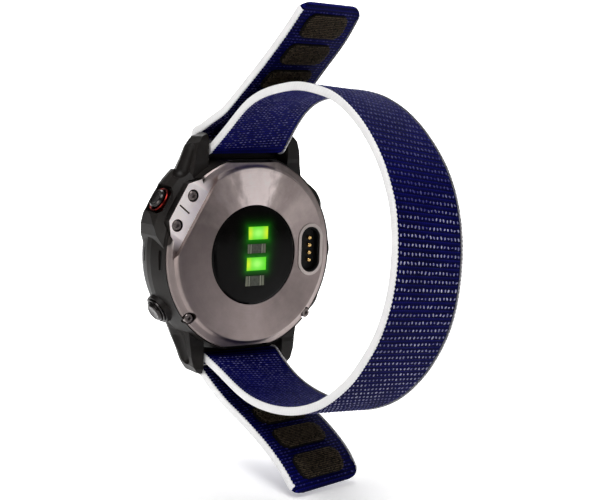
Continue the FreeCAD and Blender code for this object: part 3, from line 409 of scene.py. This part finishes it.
def float_material(name, a, b, shade_below, shade_above):
    """Yarn whose paler strands fade to navy towards the top and the bottom of the band: painted shade set by height,
    with random wide patches of fading besides.
    """
    m = Mat(name, Roughness=0.6, Specular_IOR_Level=0.15)
    vec = m.obj()
    sep = m.node("ShaderNodeSeparateXYZ", [vec])
    n = m.noise(vec, 0.8, 2.0, 0.6)
    f = m.noise(vec, 6.0, 2.0, 0.6)
    wide = m.noise(vec, 0.11, 2.0, 0.5)
    col = m.ramp(n, [(0.3, a), (0.7, b)])
    # painted shade: the strands darken to navy with height, above the upper bound and below the lower one
    up = m.math("MULTIPLY", m.math("SUBTRACT", sep.outputs[2], shade_above), 0.10, clamp=True)
    down = m.math("MULTIPLY", m.math("SUBTRACT", shade_below, sep.outputs[2]), 0.10, clamp=True)
    height_shade_and_tone = m.math("MINIMUM", m.math("ADD", m.math("ADD", up, down), m.math("MULTIPLY", m.math("SUBTRACT", wide, 0.42), 1.6, clamp=True)), 0.86)
    m.link(m.mix(height_shade_and_tone, col, (0.012, 0.013, 0.15)), "Base Color")
    m.bump(f, 0.4, 0.00005)
    return m.m


PALE_FLOAT = float_material("pale_yarn", (0.14, 0.14, 0.32), (0.62, 0.62, 0.80), -24.0, 12.0)
DIM_FLOAT = float_material("navy_yarn_lit", (0.010, 0.011, 0.08), (0.24, 0.24, 0.52), -24.0, 34.0)


def binding_material():
    m = Mat("white_binding", Roughness=0.6, Sheen_Weight=0.4, Specular_IOR_Level=0.3)
    u, v, vec = m.uv()
    thread = wave(m, m.math("ADD", v, m.math("MULTIPLY", u, 0.18)), 0.31)
    fib = m.noise(vec, 5.0, 3.0, 0.6)
    big = m.noise(vec, 0.25, 2.0, 0.5)
    h = m.math("ADD", m.math("MULTIPLY", thread, 0.7), m.math("MULTIPLY", fib, 0.4))
    tone = m.math("ADD", m.math("MULTIPLY", h, 0.6), m.math("MULTIPLY", big, 0.35))
    m.link(m.ramp(tone, [(0.1, (0.72, 0.72, 0.735)), (0.45, (0.88, 0.88, 0.885)), (0.8, (0.95, 0.95, 0.95))]), "Base Color")
    m.bump(h, 0.5, 0.00008)
    return m.m


WHITE = binding_material()


def hook_material(name, dark, light):
    m = Mat(name, Roughness=0.85, Specular_IOR_Level=0.12)
    vec = m.obj()
    n = m.noise(vec, 1.6, 3.0, 0.7)
    m.link(m.ramp(n, [(0.3, dark), (0.75, light)]), "Base Color")
    m.bump(m.noise(vec, 9.0, 2.0, 0.5), 0.4, 0.00006)
    return m.m


HOOK_BASE = hook_material("hook_tape_ground", (0.002, 0.0015, 0.0013), (0.008, 0.006, 0.005))
HOOK_TIP = hook_material("hook_tape_hooks", (0.006, 0.0045, 0.0035), (0.19, 0.145, 0.095))


def polymer(name, base, rough, spec=0.45, tint=(1.0, 1.0, 1.0)):
    m = Mat(name, Specular_IOR_Level=spec)
    vec = m.obj()
    grain = m.noise(vec, 7.0, 4.0, 0.6)
    cloud = m.noise(vec, 0.22, 3.0, 0.5)
    scuff = m.noise(vec, 1.1, 5.0, 0.7, (1.0, 2.6, 0.5))
    lo = tuple(c * 0.72 for c in base)
    hi = tuple(c * 1.35 * k for c, k in zip(base, tint))
    m.link(m.ramp(m.math("ADD", m.math("MULTIPLY", cloud, 0.7), m.math("MULTIPLY", grain, 0.3)), [(0.3, lo), (0.7, hi)]), "Base Color")
    m.link(m.math("ADD", m.math("MULTIPLY", scuff, 0.16), rough - 0.08), "Roughness")
    m.bump(m.math("ADD", grain, m.math("MULTIPLY", scuff, 0.4)), 0.25, 0.00004)
    return m.m


def steel(name, base, rough, circular=True, strength=0.12):
    m = Mat(name, Metallic=1.0)
    vec = m.obj()
    sep = m.node("ShaderNodeSeparateXYZ", [vec])
    x, z = sep.outputs[0], sep.outputs[2]
    if circular:
        r = m.math("SQRT", m.math("ADD", m.math("MULTIPLY", x, x), m.math("MULTIPLY", z, z)))
        a = m.math("ARCTAN2", z, x)
        comb = m.node("ShaderNodeCombineXYZ", [m.math("MULTIPLY", r, 0.35), m.math("MULTIPLY", a, 160.0), 0.0])
        line = m.noise(comb.outputs[0], 1.0, 4.0, 0.65)
        comb2 = m.node("ShaderNodeCombineXYZ", [m.math("MULTIPLY", r, 0.06), m.math("MULTIPLY", a, 2.1), 0.0])
        sweep = m.noise(comb2.outputs[0], 1.0, 2.0, 0.5)
    else:
        line = m.noise(vec, 4.0, 4.0, 0.65, (0.3, 6.0, 6.0))
        sweep = m.noise(vec, 0.2, 2.0, 0.5)
    blotch = m.noise(vec, 0.35, 4.0, 0.6)
    lo = tuple(c * 0.86 for c in base)
    hi = tuple(min(1, c * 1.1) for c in base)
    m.link(m.ramp(m.math("ADD", m.math("MULTIPLY", line, 0.5), m.math("MULTIPLY", sweep, 0.5)), [(0.35, lo), (0.65, hi)]), "Base Color")
    m.link(m.math("ADD", m.math("ADD", m.math("MULTIPLY", line, 0.14), m.math("MULTIPLY", blotch, 0.08)), rough - 0.11), "Roughness")
    m.bump(line, strength, 0.00003)
    return m.m


def cover_steel():
    """Turned steel: fine circular lines, painted highlights and painted shade in soft wedges round the axis, and a
    painted highlight on the ledge.
    """
    m = Mat("caseback_steel", Metallic=1.0, Anisotropic=0.45)
    tan = m.node("ShaderNodeTangent", direction_type="RADIAL", axis="Y")
    m.link(tan.outputs[0], "Tangent")
    vec = m.obj()
    sep = m.node("ShaderNodeSeparateXYZ", [vec])
    x, z = sep.outputs[0], sep.outputs[2]
    r = m.math("SQRT", m.math("ADD", m.math("MULTIPLY", x, x), m.math("MULTIPLY", z, z)))
    a = m.math("ARCTAN2", z, x)
    line = m.noise(m.node("ShaderNodeCombineXYZ", [m.math("MULTIPLY", r, 9.0), m.math("MULTIPLY", a, 1.4), 0.0]).outputs[0], 1.0, 4.0, 0.7)
    ray = m.noise(m.node("ShaderNodeCombineXYZ", [m.math("MULTIPLY", r, 0.16), m.math("MULTIPLY", a, 5.0), 0.0]).outputs[0], 1.0, 3.0, 0.55)
    blotch = m.noise(vec, 0.33, 4.0, 0.6)
    turn = m.math("ADD", m.math("MULTIPLY", a, 0.5 / math.pi), 0.5)
    turn = m.math("ADD", turn, m.math("MULTIPLY", m.math("SUBTRACT", ray, 0.5), 0.10))
    # painted highlights and painted shade: the steel is made brighter or darker by the angle round the axis, and the
    # outer rings keep part of it
    stops = [(0.0, 0.20), (0.12, 0.22), (0.25, 0.31), (0.37, 0.20), (0.46, 0.27), (0.55, 0.36), (0.61, 0.50), (0.66, 0.36), (0.69, 0.48), (0.715, 1.0),
             (0.775, 1.0), (0.805, 0.50), (0.86, 0.28), (0.92, 0.18), (1.0, 0.20)]
    sweep = m.ramp(turn, [(q, (v, v * (0.80 + 0.07 * v), v * (0.77 + 0.08 * v))) for q, v in stops])
    inner = m.math("MULTIPLY", m.math("SUBTRACT", r, 19.9), 0.55, clamp=True)
    disc = m.mix(inner, sweep, m.mix(0.45, sweep, (0.36, 0.30, 0.285)))
    rim = m.math("MULTIPLY", m.math("SUBTRACT", r, 21.2), 1.4, clamp=True)
    disc = m.mix(rim, disc, m.mix(0.45, sweep, (0.42, 0.355, 0.34)))
    rho = m.math("ADD", m.math("MULTIPLY", x, -0.857), m.math("MULTIPLY", z, 0.515))
    t = m.math("ABSOLUTE", m.math("ADD", m.math("MULTIPLY", x, 0.515), m.math("MULTIPLY", z, 0.857)))
    ledge = m.math("MULTIPLY", m.math("GREATER_THAN", rho, 18.51), m.math("SUBTRACT", 1.0, m.math("MULTIPLY", m.math("SUBTRACT", t, 6.4), 0.32, clamp=True), clamp=True))
    grain = m.math("ADD", m.math("MULTIPLY", m.math("SUBTRACT", line, 0.5), 0.30), m.math("ADD", m.math("MULTIPLY", m.math("SUBTRACT", blotch, 0.5), 0.35), 1.0))
    # painted highlight: the ledge is mixed to near white, and its face glows faintly by emission
    disc = m.mix(ledge, disc, (1.0, 0.92, 0.90))
    m.b.inputs["Emission Color"].default_value = (1.0, 0.87, 0.85, 1)
    m.link(m.math("MULTIPLY", m.math("MULTIPLY", ledge, m.math("LESS_THAN", sep.outputs[1], 1.25)), 0.12), "Emission Strength")
    # the groove and the screw pits lie in shade
    y = sep.outputs[1]
    pit = m.math("MULTIPLY", m.math("MULTIPLY", ledge, m.math("SUBTRACT", y, 1.2)), 12.0, clamp=True)
    deep = m.math("MULTIPLY", m.math("MULTIPLY", m.math("SUBTRACT", y, 1.7), 8.0, clamp=True), m.math("LESS_THAN", r, 22.9))
    pit = m.math("MAXIMUM", pit, deep)
    disc = m.mix(pit, disc, (0.035, 0.030, 0.028))
    gray = m.node("ShaderNodeCombineColor", [grain, grain, grain])
    mul = m.node("ShaderNodeMix", data_type="RGBA", blend_type="MULTIPLY")
    mul.inputs[0].default_value = 1.0
    m.t.links.new(disc, mul.inputs[6])
    m.t.links.new(gray.outputs[0], mul.inputs[7])
    m.link(mul.outputs[2], "Base Color")
    rough = m.math("ADD", m.math("ADD", m.math("MULTIPLY", line, 0.10), m.math("MULTIPLY", blotch, 0.10)), 0.24)
    slope = m.math("MULTIPLY", m.math("SUBTRACT", r, 20.3), 0.5, clamp=True)
    rough = m.math("ADD", rough, m.math("MULTIPLY", slope, 0.16))
    m.link(rough, "Roughness")
    # the ledge leans outwards a little
    lean = m.math("MULTIPLY", m.math("MULTIPLY", ledge, m.math("SUBTRACT", rho, 18.51)), 0.00021)
    n = m.node("ShaderNodeBump", {"Strength": 1.0, "Distance": 1.0, "Height": lean})
    n.invert = True
    n2 = m.node("ShaderNodeBump", {"Strength": 0.12, "Distance": 0.00003, "Height": line, "Normal": n.outputs[0]})
    m.link(n2.outputs[0], "Normal")
    return m.m


def paint(node, mat):
    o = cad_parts[node]
    for s in o.material_slots:
        s.material = mat
    if not o.material_slots:
        o.data.materials.append(mat)


HOUSING = polymer("housing_polymer", (0.0085, 0.0072, 0.0066), 0.42, 0.2, (1.05, 1.0, 0.97))
DARK = polymer("dark_polymer", (0.002, 0.002, 0.002), 0.5, 0.2)
BEZEL = steel("bezel_coated_metal", (0.10, 0.10, 0.105), 0.3)
CASEBACK = cover_steel()
PORT = steel("socket_steel", (0.50, 0.44, 0.42), 0.30, circular=False)
SCREW = steel("screw_steel", (0.20, 0.172, 0.165), 0.28, circular=False)
BRIGHT = steel("bright_steel", (0.66, 0.63, 0.61), 0.24)
GUNMETAL = steel("button_gunmetal", (0.045, 0.042, 0.042), 0.20, circular=False)
RED = steel("red_anodised", (0.17, 0.014, 0.011), 0.28, circular=False)
GOLD = steel("gold_plate", (0.95, 0.62, 0.24), 0.22, circular=False)
RUBBER = polymer("seal_rubber", (0.012, 0.012, 0.012), 0.7, 0.3)
BOARD = polymer("board_green", (0.01, 0.09, 0.035), 0.45)
CELL = polymer("battery_wrap", (0.35, 0.36, 0.38), 0.4)
AMBER = polymer("flex_amber", (0.35, 0.14, 0.02), 0.35)
DIAL = polymer("dial_black", (0.012, 0.012, 0.013), 0.5)

LEDS = [(0.75, 5.3, 2.85, 1.55), (0.4, -2.1, 2.85, 1.6)]


def box_distance(m, x, z, cx, cz, a, b):
    """Distance in mm outside a rectangle in (x, z)."""
    dx = m.math("MAXIMUM", m.math("SUBTRACT", m.math("ABSOLUTE", m.math("SUBTRACT", x, cx)), a), 0.0)
    dz = m.math("MAXIMUM", m.math("SUBTRACT", m.math("ABSOLUTE", m.math("SUBTRACT", z, cz)), b), 0.0)
    return m.math("SQRT", m.math("ADD", m.math("MULTIPLY", dx, dx), m.math("MULTIPLY", dz, dz)))


def window_material():
    m = Mat("window_black_gloss", Roughness=0.09, Specular_IOR_Level=0.09)
    vec = m.obj()
    sep = m.node("ShaderNodeSeparateXYZ", [vec])
    x, z = sep.outputs[0], sep.outputs[2]
    # painted glow: the green light of the LEDs spreading through the window, given as emission that falls off away
    # from them
    glow = None
    for cx, cz, a, b in LEDS:
        d = box_distance(m, x, z, cx, cz, a, b)
        g = m.math("POWER", 2.718, m.math("MULTIPLY", d, -0.55))
        glow = g if glow is None else m.math("ADD", glow, g)
    m.link(m.mix(glow, (0.0, 0.0, 0.0), (0.05, 1.0, 0.02)), "Emission Color")
    m.link(m.math("MULTIPLY", m.math("MULTIPLY", glow, glow), 0.13), "Emission Strength")
    smear = m.noise(vec, 0.5, 3.0, 0.6)
    m.link(m.ramp(smear, [(0.3, (0.0012, 0.001, 0.001)), (0.7, (0.003, 0.0025, 0.0024))]), "Base Color")
    m.link(m.math("ADD", m.math("MULTIPLY", smear, 0.12), 0.03), "Roughness")
    return m.m


def led_material():
    m = Mat("led_lens_green", Roughness=0.25, Specular_IOR_Level=0.5)
    vec = m.obj()
    sep = m.node("ShaderNodeSeparateXYZ", [vec])
    x, z = sep.outputs[0], sep.outputs[2]
    core = None
    side = None
    for cx, cz, a, b in LEDS:
        dx = m.math("SUBTRACT", x, cx + (0.0 if cz > 0 else 0.3))
        dz = m.math("SUBTRACT", z, cz)
        e = m.math("ADD", m.math("MULTIPLY", m.math("MULTIPLY", dx, dx), 0.42), m.math("MULTIPLY", m.math("MULTIPLY", dz, dz), 0.75))
        c = m.math("POWER", 2.718, m.math("MULTIPLY", e, -1.0))
        l = m.math("SUBTRACT", x, cx - 2.3)
        f = m.math("ADD", m.math("MULTIPLY", m.math("MULTIPLY", l, l), 1.4), m.math("MULTIPLY", m.math("MULTIPLY", dz, dz), 0.5))
        s = m.math("POWER", 2.718, m.math("MULTIPLY", f, -1.0))
        if cz > 0:
            l = m.math("SUBTRACT", x, cx + 2.5)
            f = m.math("ADD", m.math("MULTIPLY", m.math("MULTIPLY", l, l), 0.8), m.math("MULTIPLY", m.math("MULTIPLY", dz, dz), 0.4))
            s = m.math("ADD", s, m.math("POWER", 2.718, m.math("MULTIPLY", f, -1.0)))
        core = c if core is None else m.math("ADD", core, c)
        side = s if side is None else m.math("ADD", side, s)
    col = m.mix(side, (0.10, 0.80, 0.002), (0.72, 0.95, 0.0))
    col = m.mix(m.math("MINIMUM", m.math("MULTIPLY", core, 0.9), 1.0), col, (0.40, 1.0, 0.16))
    m.link(col, "Emission Color")
    m.link(m.math("ADD", m.math("MULTIPLY", core, 0.15), 0.8), "Emission Strength")
    m.link(m.mix(0.9, col, (0.0, 0.02, 0.0)), "Base Color")
    cells = m.noise(vec, 2.4, 2.0, 0.5)
    m.bump(cells, 0.3, 0.00008)
    return m.m


def eye_material():
    m = Mat("detector_window", Roughness=0.2, Specular_IOR_Level=0.5)
    vec = m.obj()
    sep = m.node("ShaderNodeSeparateXYZ", [vec])
    x, z = sep.outputs[0], sep.outputs[2]
    rim = None
    tint = None
    for cx, cz, a, b in [(0.4, 1.55, 2.75, 1.15), (0.15, -6.2, 2.75, 1.25)]:
        ax = m.math("ABSOLUTE", m.math("SUBTRACT", x, cx))
        inz = m.math("LESS_THAN", m.math("ABSOLUTE", m.math("SUBTRACT", z, cz)), b + 0.1)
        band = m.math("MULTIPLY", m.math("GREATER_THAN", ax, a - 0.75), inz)
        near = m.math("MULTIPLY", m.math("LESS_THAN", m.math("ABSOLUTE", m.math("SUBTRACT", ax, a - 1.15)), 0.12), inz)
        rim = band if rim is None else m.math("ADD", rim, band)
        tint = near if tint is None else m.math("ADD", tint, near)
    n = m.noise(vec, 1.6, 3.0, 0.6)
    body = m.ramp(n, [(0.3, (0.030, 0.036, 0.022)), (0.7, (0.065, 0.07, 0.045))])
    col = m.mix(rim, body, (0.16, 0.17, 0.11))
    col = m.mix(tint, col, (0.30, 0.31, 0.22))
    m.link(col, "Base Color")
    m.bump(n, 0.2, 0.00004)
    return m.m


def glass_material():
    m = Mat("front_glass", Roughness=0.03, Specular_IOR_Level=0.22)
    vec = m.obj()
    n = m.noise(vec, 0.4, 3.0, 0.6)
    m.link(m.ramp(n, [(0.3, (0.006, 0.007, 0.008)), (0.7, (0.012, 0.013, 0.015))]), "Base Color")
    m.link(m.math("ADD", m.math("MULTIPLY", n, 0.05), 0.02), "Roughness")
    return m.m


paint("mid_case", HOUSING)
paint("vent_covers", DARK)
paint("bezel_ring", BEZEL)
paint("display_glass", glass_material())
for n in ("chapter_ring", "display_panel", "inner_frame"):
    paint(n, DIAL)
for n in ("bezel_gasket", "caseback_gasket", "button_seals"):
    paint(n, RUBBER)
for n in ("antenna_ring", "shield_cans", "vibration_motor", "tact_switches", "lug_bars", "button_bushings"):
    paint(n, BRIGHT)
for b in ("start", "back", "light", "up", "down"):
    paint(b + "_button", GUNMETAL)
    paint(b + "_button_clip", BRIGHT)
paint("button_rings", GUNMETAL)
paint("start_ring", RED)
paint("caseback", CASEBACK)
paint("caseback_screws", SCREW)
paint("port_ring", PORT)
paint("sensor_window", window_material())
paint("sensor_leds", led_material())
paint("sensor_photodiodes", eye_material())
paint("sensor_board", BOARD)
paint("main_board", BOARD)
paint("battery", CELL)
paint("sensor_flex", AMBER)
paint("port_housing", DARK)
paint("contact_pins", GOLD)
paint("beeper_disc", GOLD)

# ------------------------------------------------------------------ band
STEP = 0.2288
body = strap_body("loop_weave", LOOP, 0.0, T, STEP, [NAVY_OUT, NAVY_IN])
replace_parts(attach(body, "case"), "band_loop")
edges = []
for side, tag in ((-1, "near"), (1, "far")):
    e = strap_binding("loop_binding_" + tag, LOOP, side, -0.1, T + 0.1, STEP, [WHITE], lap=0.66 if side < 0 else 0.5)
    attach(e, "case")
    edges.append(e)
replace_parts(edges[0], "band_edging")

ROW = 1.83
xs_out = np.arange(-9.2, 9.21, 1.15)
o = stitches("loop_floats_outer", LOOP, np.arange(3.0, LOOP.length - 3.0, ROW), xs_out, 0.0, -1, (0.34, 0.19, 0.14), True, [PALE_FLOAT])
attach(o, "case")
xs_in = np.arange(-9.4, 9.41, 1.12)
o = stitches("loop_floats_inner", LOOP, np.arange(3.0, LOOP.length - 3.0, 0.915), xs_in, T, 1, (0.34, 0.16, 0.11), False, [DIM_FLOAT],
             keep=lambda x, r: rng.random() < 0.8, tilt=0.12)
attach(o, "case")


def pad(name, strap, s_mid, out, t):
    """A hook patch: a low obround ground with rounded rim, and rows of slanting hooks."""
    hw, hl, rc = 7.0, 3.4, 2.3
    V, F = [], []
    ring = []
    n = 14
    for q, (sx, sy) in enumerate(((1, -1), (1, 1), (-1, 1), (-1, -1))):
        for k in range(n):
            a = math.pi / 2 * (k + 0.5) / n + (q - 1) * math.pi / 2
            ring.append((sx * (hw - rc) + rc * math.cos(a), sy * (hl - rc) + rc * math.sin(a)))
    ring = np.array(ring)
    core = np.clip(ring, [-(hw - rc), -(hl - rc)], [hw - rc, hl - rc])
    levels = [(1.0, -0.1), (1.0, 0.22), (0.985, 0.32), (0.955, 0.38), (0.8, 0.36), (0.5, 0.36), (0.2, 0.36)]
    for f, h in levels:
        q = core + (ring - core) * f if f > 0.9 else ring * f
        V.append(strap.point(q[:, 0], s_mid + q[:, 1], t + out * h))
    m = len(ring)
    base = len(levels) * m
    V.append(strap.point(0.0, s_mid, t + out * 0.36)[None, :])
    V.append(strap.point(0.0, s_mid, t - out * 0.1)[None, :])
    for i in range(len(levels) - 1):
        for j in range(m):
            a, b = i * m + j, i * m + (j + 1) % m
            F.append((a, b, b + m, a + m))
    for j in range(m):
        F.append(((len(levels) - 1) * m + j, (len(levels) - 1) * m + (j + 1) % m, base))
        F.append(((j + 1) % m, j, base + 1))
    ground = mesh_object(name + "_ground", np.concatenate(V), F, None, [HOOK_BASE])
    V, F = [], []
    pitch = 0.5
    rows = np.arange(-hl + 0.35, hl - 0.3, pitch)
    for ri, y in enumerate(rows):
        for x in np.arange(-hw + 0.3, hw - 0.25, 0.46):
            xx = x + (0.23 if ri % 2 else 0.0)
            cx, cy = max(abs(xx) - (hw - rc), 0), max(abs(y) - (hl - rc), 0)
            if math.hypot(cx, cy) > rc - 0.32:
                continue
            yy = y + rng.normal(0, 0.03)
            xx = xx + rng.normal(0, 0.03)
            p0 = strap.point(xx, s_mid + yy, t + out * 0.30)
            lean = 0.16 if rng.random() < 0.93 else -0.16
            p1 = strap.point(xx + lean, s_mid + yy + 0.17, t + out * 0.60)
            p2 = strap.point(xx + lean * 1.9, s_mid + yy + 0.30, t + out * 0.52)
            k0 = len(V) * 12
            r = 0.095
            side = np.cross(p1 - p0, p2 - p1)
            side = side / (np.linalg.norm(side) + 1e-9)
            pts = []
            for p, q in ((p0, p1 - p0), (p1, p2 - p0), (p2, p2 - p1)):
                q = q / np.linalg.norm(q)
                up = np.cross(side, q)
                for a in (0, 1, 2, 3):
                    w = a * math.pi / 2 + math.pi / 4
                    pts.append(p + (side * math.cos(w) + up * math.sin(w)) * r)
            V.append(np.array(pts))
            for lv in (0, 4):
                for a in range(4):
                    F.append((k0 + lv + a, k0 + lv + (a + 1) % 4, k0 + lv + 4 + (a + 1) % 4, k0 + lv + 4 + a))
            F.append((k0 + 3, k0 + 2, k0 + 1, k0))
            F.append((k0 + 8, k0 + 9, k0 + 10, k0 + 11))
    hooks = mesh_object(name + "_hooks", np.concatenate(V), F, None, [HOOK_TIP])
    return ground, hooks


def make_tab(tag, strap, sgn, body_name, node):
    """sgn is the side of the strap's line that its thickness lies on."""
    out = -sgn
    L = strap.length
    mats = [NAVY_OUT, NAVY_IN]
    rigid_start = 8.0
    p1 = strap.point(0.0, 14.0, 0.0)
    p0 = strap.point(0.0, 4.0, 0.0)
    pieces = []
    b = strap_body(tag + "_weave", strap, 0.0, sgn * T, STEP, mats, round_end=2.6)
    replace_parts(b, node)
    pieces.append(b)
    for side, nm in ((-1, "near"), (1, "far")):
        e = strap_binding("%s_binding_%s" % (tag, nm), strap, side, -sgn * 0.1, sgn * (T + 0.1), STEP, [WHITE], s_end=L - 1.4, round_end=2.6, lap=0.66 if side < 0 else 0.5)
        pieces.append(e)
    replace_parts(pieces[1], node + "_edging")
    mids = [L - 5.6, L - 14.6, L - 23.6]

    def clear(x, r):
        for m in mids:
            cx = max(abs(x) - 3.6, 0)
            if math.hypot(cx, r - m) < 3.4 + 0.45:
                return False
        return r < L - 1.2
    o = stitches(tag + "_floats_inner", strap, np.arange(3.0, L - 1.0, 0.915), xs_in, 0.0, out, (0.34, 0.16, 0.11), False, [DIM_FLOAT],
                 keep=lambda x, r: clear(x, r) and rng.random() < 0.75, tilt=0.12)
    pieces.append(o)
    o = stitches(tag + "_floats_outer", strap, np.arange(3.0, L - 2.0, ROW), xs_out, sgn * T, -out, (0.34, 0.19, 0.14), True, [PALE_FLOAT],
                 keep=lambda x, r: r < L - 3)
    pieces.append(o)
    for p in pieces:
        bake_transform(p)
    hooks = []
    for i, m in enumerate(mids):
        g, h = pad("%s_pad%d" % (tag, i + 1), strap, m, out, 0.0)
        for q in (g, h):
            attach(q, body_name)
            hooks.append(q)
    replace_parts(hooks[0], node + "_hooks")


make_tab("tab_top", TOP, -1, "tab_top_body", "tab_top")
make_tab("tab_low", LOW, 1, "tab_bottom_body", "tab_bottom")

# ------------------------------------------------------------------ floor, light, camera
def floor():
    z0 = -49.6
    V, F = [], []
    prof = [(-900.0, z0), (700.0, z0)]
    for k in range(1, 13):
        a = math.pi / 2 * k / 12
        prof.append((700 + 500 * math.sin(a), z0 + 500 * (1 - math.cos(a))))
    prof.append((1200.0, z0 + 2600.0))
    az = math.radians(-36.14)
    fwd = np.array([-math.sin(az), math.cos(az)])
    side = np.array([fwd[1], -fwd[0]])
    for q, z in prof:
        for w in (-2600.0, 2600.0):
            p = fwd * q + side * w
            V.append((p[0], p[1], z))
    for i in range(len(prof) - 1):
        F.append((2 * i, 2 * i + 1, 2 * i + 3, 2 * i + 2))
    m = Mat("pale_floor", Roughness=0.85, Specular_IOR_Level=0.2)
    vec = m.obj()
    n = m.noise(vec, 0.02, 3.0, 0.5)
    m.link(m.ramp(n, [(0.3, (0.90, 0.90, 0.905)), (0.7, (0.93, 0.93, 0.93))]), "Base Color")
    # the sweep is lit from within where it lies behind the watch
    sep = m.node("ShaderNodeSeparateXYZ", [vec])
    ahead = m.math("ADD", m.math("MULTIPLY", sep.outputs[0], float(fwd[0])), m.math("MULTIPLY", sep.outputs[1], float(fwd[1])))
    across = m.math("ABSOLUTE", m.math("ADD", m.math("MULTIPLY", sep.outputs[0], float(side[0])), m.math("MULTIPLY", sep.outputs[1], float(side[1]))))
    lit = m.math("MULTIPLY", m.math("ADD", ahead, 60.0), 0.012, clamp=True)
    near = m.math("MULTIPLY", m.math("SUBTRACT", m.math("ADD", m.math("MULTIPLY", ahead, 0.32), 230.0), across), 0.012, clamp=True)
    m.b.inputs["Emission Color"].default_value = (1, 1, 1, 1)
    m.link(m.math("MULTIPLY", m.math("MULTIPLY", lit, near), 0.75), "Emission Strength")
    o = mesh_object("floor_sweep", V, F, None, [m.m])


floor()


def area(name, pos, target, size, power, color=(1, 1, 1), size_y=None):
    l = bpy.data.lights.new(name, "AREA")
    l.energy = power
    l.color = color
    l.size = size
    if size_y:
        l.shape = "RECTANGLE"
        l.size_y = size_y
    o = bpy.data.objects.new(name, l)
    o.location = pos
    d = Vector(target) - Vector(pos)
    o.rotation_mode = "QUATERNION"
    o.rotation_quaternion = d.to_track_quat("-Z", "Y")
    scene.collection.objects.link(o)
    return o


area("key_top", (-0.25, -0.35, 0.75), (0, 0, 0), 0.45, 4.5)
area("fill_left", (-0.75, -0.10, 0.12), (0, 0, 0), 0.30, 1.3, (1.0, 0.96, 0.93))
area("front_card", (0.10, -0.80, 0.06), (0, 0, 0), 0.30, 0.75, (1.0, 0.97, 0.95), 0.5)
area("back_wash", (0.45, 0.55, 0.9), (0.7, 1.0, -0.05), 0.8, 10.0)

world = bpy.data.worlds.new("soft_white")
scene.world = world
world.use_nodes = True
bg = world.node_tree.nodes["Background"]
bg.inputs[0].default_value = (1.0, 0.985, 0.97, 1)
bg.inputs[1].default_value = 0.16

cam = bpy.data.cameras.new("photo_camera")
cam.lens = 85.95
cam.sensor_width = 36.0
cam.clip_start = 0.01
cam.clip_end = 20.0
co = bpy.data.objects.new("photo_camera", cam)
r = Vector((0.80953, -0.58614, 0.03314))
u = Vector((0.04613, 0.11978, 0.99173))
d = Vector((0.58526, 0.80131, -0.12400))
co.matrix_world = Matrix((
    (r.x, u.x, -d.x, -0.191487),
    (r.y, u.y, -d.y, -0.280738),
    (r.z, u.z, -d.z, 0.044008),
    (0, 0, 0, 1)))
scene.collection.objects.link(co)
scene.camera = co
scene.view_settings.view_transform = "Standard"
